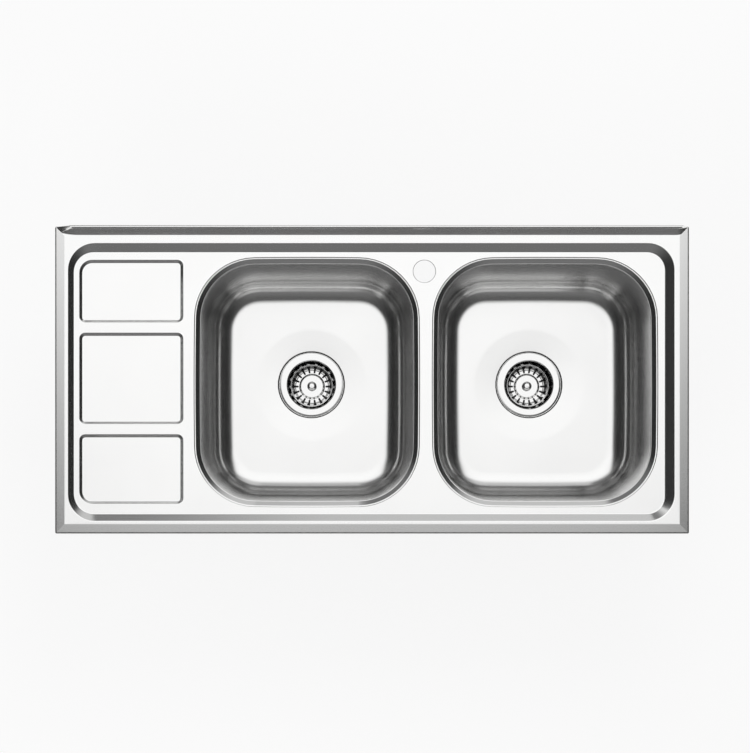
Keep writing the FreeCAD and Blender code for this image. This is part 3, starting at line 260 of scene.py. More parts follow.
class StudioSettings(bpy.types.PropertyGroup):
    eye_x: bpy.props.FloatProperty(name="Camera X", default=-0.02, unit="LENGTH",
                                   description="Camera along the sink")
    eye_y: bpy.props.FloatProperty(name="Camera Y", default=-0.205, unit="LENGTH",
                                   description="Camera from rear to front")
    eye_height: length("Camera height", 3.0, "Camera above the cabinet's top")
    pixels_per_metre: bpy.props.FloatProperty(
        name="Scale", default=635, description="Pixels of the picture to a metre of frame")
    middle_x: bpy.props.FloatProperty(name="Picture middle X", default=0.0046, unit="LENGTH",
                                      description="Place on the frame at the picture's middle")
    middle_y: bpy.props.FloatProperty(name="Picture middle Y", default=0.0055, unit="LENGTH",
                                      description="Place on the frame at the picture's middle")
    top_light: share("Top light", 1.34, "Strength of the light straight above", 4)
    plain_light: share("Plain light", 0.85, "Strength of the light on matt surfaces", 4)
    floor_shade: share("Floor shade", 0.9, "How pale the studio floor is")
    floor_glow: share("Floor glow", 0.8, "How much of the floor is white to the camera")
    panel_half: share("Panel half width", 0.17, "Plain part of the top light, to a step up", 4)
    panel_edge: share("Panel edge", 0.13, "Where the top light ends in front, to a step up", 4)
    panel_slant: share("Panel slant", 1.43, "How the top light widens to the sides", 4)


def sizes(name):
    """The settings of one group, as the panel shows them."""
    return getattr(bpy.context.scene, "sink_" + name)


# ------------------------------------------------------------------ outlines and sheets

def side_shares(span):
    """Shares of a side where points stand: close together at both ends."""
    ends = [END_SPACING * step / span for step in range(1, END_STEPS + 1)]
    first, last = ends[-1], 1 - ends[-1]
    middle = [first + (last - first) * step / MIDDLE_STEPS for step in range(1, MIDDLE_STEPS)]
    return ends + middle + [1 - place for place in reversed(ends)]


def rounded_ring(box, radii, level, bow=0.0):
    """Points round a rectangle with rounded corners, from its front left corner."""
    left, right, front, rear = box
    corners = [(left, front, 1, 1), (right, front, -1, 1), (right, rear, -1, -1),
               (left, rear, 1, -1)]
    arcs = []
    for turn, ((x, y, inward_x, inward_y), radius) in enumerate(zip(corners, radii)):
        centre = Vector((x + inward_x * radius, y + inward_y * radius, level))
        arc = []
        for step in range(CORNER_STEPS + 1):
            way = math.pi + (turn + step / CORNER_STEPS) * math.pi / 2
            arc.append(centre + radius * Vector((math.cos(way), math.sin(way), 0)))
        arcs.append(arc)
    points = []
    for turn, arc in enumerate(arcs):
        start, end = arc[-1], arcs[(turn + 1) % len(arcs)][0]
        points += arc
        points += [start.lerp(end, place) for place in side_shares((end - start).length)]
    if bow:
        middle = Vector(((left + right) / 2, (front + rear) / 2, 0))
        half_x, half_y = (right - left) / 2, (rear - front) / 2
        for point in points:
            away_x, away_y = point.x - middle.x, point.y - middle.y
            point.x -= away_x * bow / half_x * (away_y / half_y) ** 2
            point.y -= away_y * bow / half_y * (away_x / half_x) ** 2
    return points


def bent_path(points, bends, steps=6):
    """A path of (inset, level) points with each inner corner rounded."""
    path = [Vector(points[0])]
    for before, here, after, radius in zip(points, points[1:], points[2:], bends):
        before, here, after = Vector(before), Vector(here), Vector(after)
        back, ahead = (before - here).normalized(), (after - here).normalized()
        half = math.acos(max(-1, min(1, back.dot(ahead)))) / 2
        centre = here + (back + ahead).normalized() * radius / math.sin(half)
        start = here + back * radius / math.tan(half)
        end = here + ahead * radius / math.tan(half)
        from_way = math.atan2(*reversed(start - centre))
        turn = math.atan2(*reversed(end - centre)) - from_way
        turn = (turn + math.pi) % (2 * math.pi) - math.pi
        for step in range(steps + 1):
            way = from_way + turn * step / steps
            path.append(centre + radius * Vector((math.cos(way), math.sin(way))))
    path.append(Vector(points[-1]))
    return path


def moved_path(path, distance):
    """The path that lies a distance to the left of another, as seen along it."""
    moved = []
    for index, point in enumerate(path):
        before, after = path[max(index - 1, 0)], path[min(index + 1, len(path) - 1)]
        along = (after - before).normalized()
        moved.append(point + distance * Vector((-along.y, along.x)))
    return moved


def add_ring(mesh, points):
    return [mesh.verts.new(point) for point in points]


def join_rings(mesh, ring, following, skip=None):
    """Faces between two rings of as many points, except where skip says so."""
    count = len(ring)
    for index in range(count):
        if skip and skip(index):
            continue
        after = (index + 1) % count
        mesh.faces.new((ring[index], ring[after], following[after], following[index]))


def join_all(mesh, rings):
    for ring, following in zip(rings, rings[1:]):
        join_rings(mesh, ring, following)


def ring_edges(mesh, ring):
    return [mesh.edges.get((ring[index - 1], ring[index])) or
            mesh.edges.new((ring[index - 1], ring[index])) for index in range(len(ring))]


def fill_flat(mesh, rings):
    edges = [edge for ring in rings for edge in ring_edges(mesh, ring)]
    bmesh.ops.triangle_fill(mesh, use_beauty=True, edges=edges, normal=Vector((0, 0, 1)))


def sink_path(mesh, box, radii, path, bow=0.0, shares=(1, 1, 1, 1)):
    """Rings that follow a path of (inset, level) inwards from a box. The shares say how much
    of the inset counts at the left, right, front and rear."""
    rings = []
    for inset, level in path:
        left, right, front, rear = (inset * part for part in shares)
        inner = (box[0] + left, box[1] - right, box[2] + front, box[3] - rear)
        cuts = ((left + front) / 2, (right + front) / 2, (right + rear) / 2, (left + rear) / 2)
        corner_radii = [radius - cut for radius, cut in zip(radii, cuts)]
        rings.append(add_ring(mesh, rounded_ring(inner, corner_radii, level, bow)))
    join_all(mesh, rings)
    return rings


def turn_path(mesh, path, centre, steps=ROUND_STEPS, skip=None, ways=None):
    """Rings that follow a path of (radius, height) round an upright axis. The ways, where
    given, hold the angles of each ring's points."""
    even = [2 * math.pi * step / steps for step in range(steps)]
    rings = []
    for row, (radius, level) in enumerate(path):
        rings.append(add_ring(mesh, [
            (centre[0] + radius * math.cos(way), centre[1] + radius * math.sin(way), level)
            for way in (ways[row] if ways else even)]))
    for row, (ring, following) in enumerate(zip(rings, rings[1:])):
        join_rings(mesh, ring, following, (lambda step, row=row: skip(row, step)) if skip else None)
    return rings


def finish_piece(name, mesh, body, material, gauge=0.0, sharp=30, even=True):
    """Turns the mesh into a smooth piece of sheet that rides on a body."""
    bmesh.ops.remove_doubles(mesh, verts=mesh.verts, dist=SAME_PLACE)
    bmesh.ops.recalc_face_normals(mesh, faces=mesh.faces)
    if gauge and sum(face.normal.z * face.calc_area() for face in mesh.faces) < 0:
        bmesh.ops.reverse_faces(mesh, faces=mesh.faces)
    data = bpy.data.meshes.new(name)
    mesh.to_mesh(data)
    mesh.free()
    piece = bpy.data.objects.new(name, data)
    bpy.context.scene.collection.objects.link(piece)
    if gauge:
        sheet = piece.modifiers.new("Sheet", "SOLIDIFY")
        sheet.thickness = gauge
        sheet.offset = -1
        sheet.use_even_offset = even
        depsgraph = bpy.context.evaluated_depsgraph_get()
        solid = bpy.data.meshes.new_from_object(piece.evaluated_get(depsgraph))
        piece.modifiers.clear()
        piece.data = solid
        bpy.data.meshes.remove(data)
        solid.name = name
    piece.data.polygons.foreach_set("use_smooth", [True] * len(piece.data.polygons))
    piece.data.set_sharp_from_angle(angle=math.radians(sharp))
    weighted = piece.modifiers.new("Even shading", "WEIGHTED_NORMAL")
    weighted.keep_sharp = True
    piece.data.materials.append(material)
    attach(piece, body)
    return piece


# ------------------------------------------------------------------ layout in plan

def recess_box():
    deck = sizes("deck")
    return (DECK_LOW.x + deck.frame_left, DECK_HIGH.x - deck.frame_right,
            DECK_LOW.y + deck.frame_front, DECK_HIGH.y - deck.frame_rear)


def tray_boxes():
    tray = sizes("tray")
    left, _, front, rear = recess_box()
    left += tray.margin
    right = left + tray.width
    rear_top = rear - tray.rear_margin
    rear_low = rear_top - tray.rear
    front_low = front + tray.front_margin
    front_top = front_low + tray.front
    return [(left, right, rear_low, rear_top),
            (left, right, front_top + tray.web, rear_low - tray.web),
            (left, right, front_low, front_top)]


def mouth_box(side):
    bowl = sizes("bowl")
    left = tray_boxes()[0][1] + bowl.gap
    if side == "right":
        left += bowl.across + bowl.web
    front = recess_box()[2] + bowl.front_margin
    return left, left + bowl.across, front, front + bowl.deep


def mouth_points(floor):
    """Corners of the path from the recessed floor down a bowl's bevel and wall."""
    bowl = sizes("bowl")
    inset = bowl.bevel * math.tan(bowl.bevel_lean)
    lip = floor - bowl.bevel - bowl.lip
    return inset, lip, inset + bowl.lip * math.tan(bowl.draft)


def drain_centre(side):
    low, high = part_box(f"{side}_strainer_cup")
    return (low.x + high.x) / 2, (low.y + high.y) / 2


def deck_floor():
    return DECK_HIGH.z - sizes("deck").upstand - sizes("deck").recess


# ------------------------------------------------------------------ materials

def new_material(name):
    material = bpy.data.materials.new(name)
    material.use_nodes = True
    tree = material.node_tree
    tree.nodes.clear()
    output = tree.nodes.new("ShaderNodeOutputMaterial")
    shader = tree.nodes.new("ShaderNodeBsdfPrincipled")
    tree.links.new(shader.outputs[0], output.inputs["Surface"])
    return material, tree, shader


def add_node(tree, kind, links=None, **settings):
    node = tree.nodes.new(kind)
    for name, value in settings.items():
        setattr(node, name, value)
    for socket, value in (links or {}).items():
        if isinstance(value, bpy.types.NodeSocket):
            tree.links.new(value, node.inputs[socket])
        else:
            node.inputs[socket].default_value = value
    return node


def math_node(tree, operation, first, second=0.0, third=0.0):
    return add_node(tree, "ShaderNodeMath", {0: first, 1: second, 2: third},
                    operation=operation).outputs[0]


def spread(tree, value, low, high, from_low=0.0, from_high=1.0):
    node = add_node(tree, "ShaderNodeMapRange", {
        "Value": value, "From Min": from_low, "From Max": from_high,
        "To Min": low, "To Max": high})
    return node.outputs["Result"]


def noise(tree, vector, scale, detail=3.0, roughness=0.5):
    return add_node(tree, "ShaderNodeTexNoise", {
        "Vector": vector, "Scale": scale, "Detail": detail, "Roughness": roughness}).outputs[0]


def object_place(tree, scale=(1, 1, 1)):
    place = tree.nodes.new("ShaderNodeTexCoord").outputs["Object"]
    if scale == (1, 1, 1):
        return place
    return add_node(tree, "ShaderNodeMapping", {"Vector": place, "Scale": scale}).outputs[0]


def round_place(tree, centre, scale):
    """Place as the distance from an upright axis and the height, both scaled."""
    place = tree.nodes.new("ShaderNodeTexCoord").outputs["Object"]
    flat = add_node(tree, "ShaderNodeVectorMath", {
        0: place, 1: (centre[0], centre[1], 0)}, operation="SUBTRACT").outputs[0]
    parts = add_node(tree, "ShaderNodeSeparateXYZ", {0: flat})
    level = add_node(tree, "ShaderNodeCombineXYZ", {0: parts.outputs[0], 1: parts.outputs[1]})
    reach = add_node(tree, "ShaderNodeVectorMath", {0: level.outputs[0]}, operation="LENGTH")
    far = math_node(tree, "MULTIPLY", reach.outputs["Value"], scale)
    high = math_node(tree, "MULTIPLY", parts.outputs[2], scale)
    return add_node(tree, "ShaderNodeCombineXYZ", {0: far, 1: high}).outputs[0]


def mix_colour(tree, factor, low, high):
    node = add_node(tree, "ShaderNodeMix", data_type="RGBA")
    tree.links.new(factor, node.inputs["Factor"])
    node.inputs[6].default_value = (*low, 1)
    node.inputs[7].default_value = (*high, 1)
    return node.outputs[2]


def set_bump(tree, shader, height, strength, distance):
    bump = add_node(tree, "ShaderNodeBump", {
        "Height": height, "Strength": strength, "Distance": distance})
    tree.links.new(bump.outputs[0], shader.inputs["Normal"])


def brushed_sheet(name, stretch, roughness, wear=0.06):
    """Stainless sheet with a fine grain drawn out along one way, and faint cloudiness."""
    finish = sizes("finish")
    material, tree, shader = new_material(name)
    grain = noise(tree, object_place(tree, stretch), 1.0, 4.0, 0.65)
    clouds = noise(tree, object_place(tree), 9.0, 3.0, 0.5)
    colour = mix_colour(tree, spread(tree, grain, 0.0, 1.0, 0.3, 0.7),
                        finish.sheet_dark, finish.sheet)
    tree.links.new(colour, shader.inputs["Base Color"])
    rough = math_node(tree, "ADD", spread(tree, grain, roughness - wear, roughness + wear),
                      spread(tree, clouds, -wear / 2, wear / 2))
    tree.links.new(rough, shader.inputs["Roughness"])
    shader.inputs["Metallic"].default_value = 1
    set_bump(tree, shader, grain, 0.25, 0.02 * MM)
    return material


def turned_steel(name, centre, roughness):
    """Polished steel with fine turned rings round the drain's axis."""
    finish = sizes("finish")
    material, tree, shader = new_material(name)
    rings = noise(tree, round_place(tree, centre, 1500.0), 1.0, 3.0, 0.6)
    colour = mix_colour(tree, rings, tuple(part * 0.9 for part in finish.polish), finish.polish)
    tree.links.new(colour, shader.inputs["Base Color"])
    tree.links.new(spread(tree, rings, roughness * 0.7, roughness * 1.4),
                   shader.inputs["Roughness"])
    shader.inputs["Metallic"].default_value = 1
    set_bump(tree, shader, rings, 0.15, 0.02 * MM)
    return material


def galvanised(name):
    """Zinc-coated steel with its patchy spangle."""
    finish = sizes("finish")
    material, tree, shader = new_material(name)
    spangle = add_node(tree, "ShaderNodeTexVoronoi", {
        "Vector": object_place(tree), "Scale": 160.0}).outputs["Color"]
    patch = add_node(tree, "ShaderNodeRGBToBW", {0: spangle}).outputs[0]
    dark = tuple(part * 0.75 for part in finish.zinc)
    tree.links.new(mix_colour(tree, patch, dark, finish.zinc), shader.inputs["Base Color"])
    tree.links.new(spread(tree, patch, 0.3, 0.5), shader.inputs["Roughness"])
    shader.inputs["Metallic"].default_value = 0.9
    set_bump(tree, shader, patch, 0.1, 0.05 * MM)
    return material


def matt(name, colour, scale, roughness, depth, contrast=0.3):
    """A matt stuff, such as rubber, foam or plastic, with a fine uneven face."""
    material, tree, shader = new_material(name)
    grain = noise(tree, object_place(tree), scale, 4.0, 0.6)
    clouds = noise(tree, object_place(tree), scale / 12, 2.0, 0.5)
    both = math_node(tree, "MULTIPLY_ADD", grain, 0.6, math_node(tree, "MULTIPLY", clouds, 0.4))
    dark = tuple(part * (1 - contrast) for part in colour)
    light = tuple(min(1, part * (1 + contrast)) for part in colour)
    tree.links.new(mix_colour(tree, both, dark, light), shader.inputs["Base Color"])
    tree.links.new(spread(tree, grain, roughness - 0.08, roughness + 0.08),
                   shader.inputs["Roughness"])
    set_bump(tree, shader, grain, 0.4, depth)
    return material


def brass_metal(name):
    finish = sizes("finish")
    material, tree, shader = new_material(name)
    grain = noise(tree, object_place(tree), 900.0, 3.0, 0.6)
    dark = tuple(part * 0.8 for part in finish.brass)
    tree.links.new(mix_colour(tree, grain, dark, finish.brass), shader.inputs["Base Color"])
    tree.links.new(spread(tree, grain, 0.2, 0.4), shader.inputs["Roughness"])
    shader.inputs["Metallic"].default_value = 1
    set_bump(tree, shader, grain, 0.1, 0.02 * MM)
    return material


def kept(name, make, *values):
    """A material that several pieces share, made at its first use."""
    return bpy.data.materials.get(name) or make(name, *values)


def deck_steel():
    return kept("brushed_deck_steel", brushed_sheet, (14, 1400, 1400),
                sizes("finish").sheet_roughness)


def bowl_steel():
    return kept("satin_bowl_steel", brushed_sheet, (500, 500, 500),
                sizes("finish").bowl_roughness)


# ------------------------------------------------------------------ deck

def rim_stations():
    """The rim's path from its return flange up to the frame, at the sides and at the rear.
    Both have as many points."""
    deck = sizes("deck")
    foot, frame_level = DECK_LOW.z, DECK_HIGH.z - deck.upstand
    edge = frame_level - deck.frame_fall
    inner = deck.upstand_width + deck.upstand_foot
    past_foot = 1 * MM
    fold, roll = deck.rim_fold, deck.rim_roll
    side = bent_path([(deck.flange, foot), (0, foot), (0, edge), (inner, frame_level)],
                     [fold, roll])
    flat_from = side.pop(-2)
    last = side.pop()
    crest = DECK_HIGH.z
    crest_inset = deck.upstand_width - deck.upstand * math.tan(deck.upstand_lean)
    rear = bent_path([(deck.flange, foot), (0, foot), (0, crest), (crest_inset, crest),
                      (deck.upstand_width, frame_level), (inner + past_foot, frame_level)],
                     [fold, deck.upstand_back, deck.upstand_roll, deck.upstand_foot])
    more = len(rear) - len(side)
    side += [flat_from.lerp(last, step / (more - 1)) for step in range(more)]
    return side, rear


def rim_ring(side, rear):
    """One ring of the rim. Along the rear it follows the upstand, whose ends slope down."""
    deck = sizes("deck")
    inset, level = side
    rear_inset, rear_level = rear
    box = (DECK_LOW.x + inset, DECK_HIGH.x - inset, DECK_LOW.y + inset, DECK_HIGH.y - inset)
    radius = max(deck.rim_corner - inset, LEAST_RADIUS)
    points = rounded_ring(box, [radius] * 4, level)
    half = (box[1] - box[0]) / 2 - radius
    middle = (box[0] + box[1]) / 2
    for point in points:
        inside = half - abs(point.x - middle)
        if point.y < box[3] - TOUCH or inside < TOUCH:
            continue
        rise = min(1, inside / (deck.left_ramp if point.x < middle else deck.right_ramp))
        point.y = DECK_HIGH.y - (inset + (rear_inset - inset) * rise)
        point.z = level + (rear_level - level) * rise
    return points


def tray_path(floor):
    tray = sizes("tray")
    run = tray.depth * math.tan(tray.lean)
    return bent_path([(-LEAD, floor), (0, floor), (run, floor - tray.depth),
                      (run + LEAD, floor - tray.depth)], [tray.bend] * 2)[1:-1]


def build_deck():
    deck, tray, bowl = sizes("deck"), sizes("tray"), sizes("bowl")
    mesh = bmesh.new()
    side, rear = rim_stations()
    rim = [add_ring(mesh, rim_ring(*both)) for both in zip(side, rear)]
    join_all(mesh, rim)
    frame_level = DECK_HIGH.z - deck.upstand
    floor = deck_floor()
    run = deck.recess * math.tan(deck.front_lean)
    shares = [math.tan(lean) / math.tan(deck.front_lean) for lean in
              (deck.left_lean, deck.right_lean, deck.front_lean, deck.rear_lean)]
    step = bent_path([(-LEAD, frame_level), (0, frame_level), (run, floor),
                      (run + LEAD, floor)], [deck.recess_bend] * 2)[1:-1]
    recess = sink_path(mesh, recess_box(), [deck.recess_corner] * 4, step, shares=shares)
    join_rings(mesh, rim[-1], recess[0])
    openings = [recess[-1]]
    plain, wide = tray.corner, tray.outer_corner
    corners = [(plain, plain, plain, wide), (plain,) * 4, (wide, plain, plain, plain)]
    for box, radii in zip(tray_boxes(), corners):
        rings = sink_path(mesh, box, radii, tray_path(floor))
        openings.append(rings[0])
        fill_flat(mesh, [rings[-1]])
    inset, lip, lip_inset = mouth_points(floor)
    edge, land = bowl.edge_step, bowl.edge_land
    ledge, foot, fall = bowl.lip_ledge, floor - bowl.bevel, bowl.flat_fall
    bends = [edge, 0.8 * edge, land / 2, ledge / 2, 0.8 * ledge]
    mouth = bent_path([(-LEAD, floor), (0, floor), (edge, floor - edge),
                       (edge + land, floor - edge - fall), (inset - ledge, foot),
                       (inset, foot - fall / 2), (lip_inset, lip)], bends, 5)[1:]
    for name in SIDES:
        rings = sink_path(mesh, mouth_box(name), [bowl.corner] * 4, mouth, bowl.bow)
        openings.append(rings[0])
    tap = (mouth_box("right")[0] - deck.tap_aside, DECK_HIGH.y - deck.tap_back)
    hole = turn_path(mesh, [(deck.tap_radius + deck.tap_edge, floor),
                            (deck.tap_radius, floor - 0.7 * deck.tap_edge)], tap,
                     ROUND_STEPS // 2)
    openings.append(hole[0])
    fill_flat(mesh, openings)
    piece = finish_piece("deck_sheet", mesh, "sink", deck_steel(),
                         deck.gauge)
    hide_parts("deck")


# ------------------------------------------------------------------ bowls

def build_bowl(side):
    deck, bowl = sizes("deck"), sizes("bowl")
    mesh = bmesh.new()
    floor = deck_floor()
    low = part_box(f"{side}_bowl")[0]
    inset = mouth_points(floor)[0]
    # The bowl's floor is a gauge above its underside, and the seat hangs under it.
    base = low.z + deck.gauge + bowl.seat_drop + bowl.fall + deck.gauge
    drop = floor - bowl.bevel - base
    foot = inset + drop * math.tan(bowl.draft)
    wall = bent_path([(-bowl.seam, floor), (0, floor), (inset, floor - bowl.bevel),
                      (foot, base), (foot + bowl.floor_radius + bowl.floor_edge, base)],
                     [bowl.mouth_bend, bowl.lip_bend, bowl.floor_radius], 10)
    rings = sink_path(mesh, mouth_box(side), [bowl.corner] * 4,
                      moved_path(wall, -deck.gauge), bowl.bow)
    level = base - deck.gauge
    x, y = drain_centre(side)
    seat_edge = bowl.seat + bowl.seat_run
    spans = [(bowl.fall_radius, level)]
    for step in range(1, FALL_STEPS + 1):
        part = step / FALL_STEPS
        radius = bowl.fall_radius + (seat_edge - bowl.fall_radius) * part
        spans.append((radius, level - bowl.fall * part))
    seat = bent_path([(seat_edge + LEAD, level - bowl.fall), (seat_edge, level - bowl.fall),
                      (bowl.seat, level - bowl.fall - bowl.seat_drop),
                      (bowl.hole, level - bowl.fall - bowl.seat_drop)],
                     [bowl.seat_bend] * 2)[1:]
    floor_ring = rings[-1]
    ways = [math.atan2(vert.co.y - y, vert.co.x - x) for vert in floor_ring]
    before = floor_ring
    for radius, height in spans[:-1] + [tuple(point) for point in seat]:
        ring = add_ring(mesh, [(x + radius * math.cos(way), y + radius * math.sin(way), height)
                               for way in ways])
        join_rings(mesh, before, ring)
        before = ring
    piece = finish_piece(f"{side}_bowl_shell", mesh, "sink", bowl_steel(),
                         deck.gauge)
    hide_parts(f"{side}_bowl")


# ------------------------------------------------------------------ strainers

def build_cup(side):
    cup = sizes("strainer")
    low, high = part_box(f"{side}_strainer_cup")
    centre = drain_centre(side)
    outer = (high.x - low.x) / 2
    top, base = high.z, low.z + cup.gauge
    well_top = base + cup.well
    cone_top = well_top + cup.cone
    wall_foot = cup.mouth - cup.taper
    mesh = bmesh.new()
    turn_in, turn_down = 0.5 * MM, 0.35 * MM
    # Bends of the flange's edge, then of the mouth, then at the head and foot of the cone and
    # round the well's floor.
    bends = [0.5 * MM, 1.2 * MM, 0.9 * MM, 0.8 * MM, 1.5 * MM, 2 * MM, 1.5 * MM]
    path = bent_path([
        (outer, top - cup.edge_drop), (outer - turn_in, top - turn_down),
        (outer - cup.edge_run, top), (cup.mouth + cup.mouth_run, top - cup.flange_fall),
        (cup.mouth, top - cup.mouth_drop),
        (wall_foot, cone_top), (wall_foot - cup.cone, well_top),
        (wall_foot - cup.cone - cup.well_taper, base), (cup.port_outer, base)], bends, 5)
    span = ROUND_STEPS // PORT_COUNT
    half_web = PORT_WEB_STEPS // 2

    def port(row, step):
        return row == last - 1 and half_web <= step % span < span - half_web
    floor_path = [(cup.port_outer, base), (cup.port_inner, base), (cup.screw_hole, base)]
    path = [tuple(point) for point in path[:-1]] + floor_path
    last = len(path) - 2
    turn_path(mesh, path, centre, skip=port)
    piece = finish_piece(f"{side}_cup_shell", mesh, "sink",
                         kept(f"{side}_cup_steel", turned_steel, centre,
                              sizes("finish").polish_roughness), cup.gauge)
    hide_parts(f"{side}_strainer_cup")


def path_reach(path):
    """How far along the path each of its points lies."""
    reach = [0.0]
    for start, end in zip(path, path[1:]):
        reach.append(reach[-1] + (Vector(end) - Vector(start)).length)
    return reach


def slot_halves(path, first, last):
    """Half a slot's width at each point of the path, round at both ends and wider in the
    wall than in the floor. Points outside the slot have none."""
    cup = sizes("strainer")
    reach = path_reach(path)
    start, end = reach[first], reach[last]
    halves = [None] * len(path)
    for row in range(first, last + 1):
        share_along = (reach[row] - start) / (end - start)
        wide = cup.wall_slot + (cup.floor_slot - cup.wall_slot) * min(1, share_along * 1.6)
        radius = wide / 2
        inside = min(reach[row] - start, end - reach[row], radius)
        halves[row] = max(radius / 2, math.sqrt(max(0, radius ** 2 - (radius - inside) ** 2)))
    return halves


def slot_ways(path, halves, slots, columns):
    """The angles of each ring's points: half of them across the slot, half across the land."""
    cup = sizes("strainer")
    rows = [row for row, half in enumerate(halves) if half]
    above = cup.wall_slot / path[rows[0]][0]
    below = cup.floor_slot / path[rows[-1]][0]
    pitch = 2 * math.pi / slots
    ways = []
    for row, (radius, _) in enumerate(path):
        if halves[row]:
            open_way = 2 * halves[row] / radius
        else:
            open_way = above if row < rows[0] else below
        ring = []
        for slot in range(slots):
            middle = slot * pitch
            ring += [middle + open_way * (column / columns - 0.5) for column in range(columns)]
            ring += [middle + open_way / 2 + (pitch - open_way) * column / columns
                     for column in range(columns)]
        ways.append(ring)
    return ways


def build_basket(side):
    cup = sizes("strainer")
    low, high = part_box(f"{side}_basket")
    centre = drain_centre(side)
    outer = (high.x - low.x) / 2
    top, floor = high.z, low.z + cup.basket_gauge
    inner = outer - cup.rim_width
    foot = inner - cup.wall_lean
    dome = cup.dome - cup.dome_run
    mesh = bmesh.new()
    radius = cup.rim_width / 2
    skin = 0.9 * cup.basket_gauge
    rim = [(inner + radius + radius * math.cos(math.radians(way)),
            top - radius + radius * math.sin(math.radians(way)))
           for way in range(-60, 181, 20)]
    # Bends under the collar, at the foot of the wall, and at the foot and head of the dome.
    bends = [2 * MM, 2.5 * MM, 1 * MM, 1.5 * MM]
    wall = bent_path([rim[-1], (inner - cup.collar_lean, top - cup.collar), (foot, floor),
                      (cup.dome, floor), (dome, floor + cup.dome_rise),
                      (cup.stem, floor + cup.dome_rise)], bends)[1:]
    path = split_path(rim + [tuple(point) for point in wall], ROW_GAP)
    rows = [row for row, (far, level) in enumerate(path)
            if row > len(rim) and level < top - cup.slot_top and far > cup.dome + cup.slot_end]
    first, last = rows[0], rows[-1]
    halves = slot_halves(path, first, last)
    pitch_steps = 2 * SLOT_COLUMNS

    def slot(row, step):
        return first <= row < last and step % pitch_steps < SLOT_COLUMNS
    turn_path(mesh, path, centre, cup.slots * pitch_steps, slot,
              slot_ways(path, halves, cup.slots, SLOT_COLUMNS))
    piece = finish_piece(f"{side}_basket_shell", mesh, f"{side}_basket",
                         kept(f"{side}_basket_steel", turned_steel, centre,
                              sizes("finish").polish_roughness), skin,
                         sharp=40, even=False)
    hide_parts(f"{side}_basket")


def split_path(path, most):
    """The same path with points no further apart than so much."""
    finer = [path[0]]
    for start, end in zip(path, path[1:]):
        start, end = Vector(start), Vector(end)
        parts = max(1, math.ceil((end - start).length / most))
        finer += [tuple(start.lerp(end, step / parts)) for step in range(1, parts + 1)]
    return finer


def build_knob(side):
    cup = sizes("strainer")
    low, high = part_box(f"{side}_basket_knob")
    centre = drain_centre(side)
    radius, top = (high.x - low.x) / 2, high.z
    mesh = bmesh.new()
    neck, foot = top - cup.head, cup.stem_foot
    crown = [(cup.pip, top), (cup.crown, top - 0.3 * MM), (0.9 * radius, top - 1.8 * MM)]
    brim = [(radius, top - 3.2 * MM), (radius - 0.6 * MM, top - 4.4 * MM)]
    throat = [(cup.stem + 1 * MM, neck), (cup.stem, neck - 1.5 * MM)]
    stem = [(cup.stem, low.z + foot), (cup.stem + foot, low.z + foot),
            (cup.stem + foot, low.z), (cup.pip, low.z)]
    bends = [3 * MM] * 2 + [1.2 * MM] + [0.8 * MM] * 3 + [0.1 * MM] * 2 + [0.2 * MM]
    path = bent_path(crown + brim + throat + stem, bends, 5)
    rings = turn_path(mesh, [tuple(point) for point in path], centre, ROUND_STEPS // 2)
    for ring in (rings[0], rings[-1]):
        mesh.faces.new(ring)
    piece = finish_piece(f"{side}_knob_turned", mesh, f"{side}_basket",
                         kept(f"{side}_basket_steel", turned_steel, centre,
                              sizes("finish").polish_roughness), sharp=50)
    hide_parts(f"{side}_basket_knob")


# ------------------------------------------------------------------ carried-over nodes

def node_finishes():
    finish = sizes("finish")
    rubber = ("black_rubber_skin", matt, finish.rubber, 700.0, 0.55, 0.03 * MM)
    finishes = {
        "sealing_strip": ("foam_cells", matt, finish.foam, 1400.0, 0.9, 0.1 * MM),
        "drainer_rails": ("zinc_spangle", galvanised),
        "fixing_brackets": ("zinc_spangle", galvanised),
        "bracket_rivets": ("zinc_spangle", galvanised),
    }
    for side in SIDES:
        finishes[f"{side}_sound_pad"] = ("bitumen_sheet", matt, finish.bitumen, 500.0, 0.75,
                                         0.15 * MM)
        for name in ("flange_seal", "body_gasket", "basket_stopper"):
            finishes[f"{side}_{name}"] = rubber
        finishes[f"{side}_waste_body"] = ("moulded_plastic", matt, finish.plastic, 300.0,
                                          0.42, 0.02 * MM, 0.05)
        finishes[f"{side}_waste_insert"] = ("brass_insert", brass_metal)
        finishes[f"{side}_clamp_screw"] = (f"{side}_cup_steel", turned_steel,
                                           drain_centre(side), finish.polish_roughness)
    return finishes


def finish_nodes():
    for name, recipe in node_finishes().items():
        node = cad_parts[name]
        material = kept(*recipe)
        if not node.data.materials:
            node.data.materials.append(material)
        for index in range(len(node.material_slots)):
            node.material_slots[index].link = "OBJECT"
            node.material_slots[index].material = material


# ------------------------------------------------------------------ studio

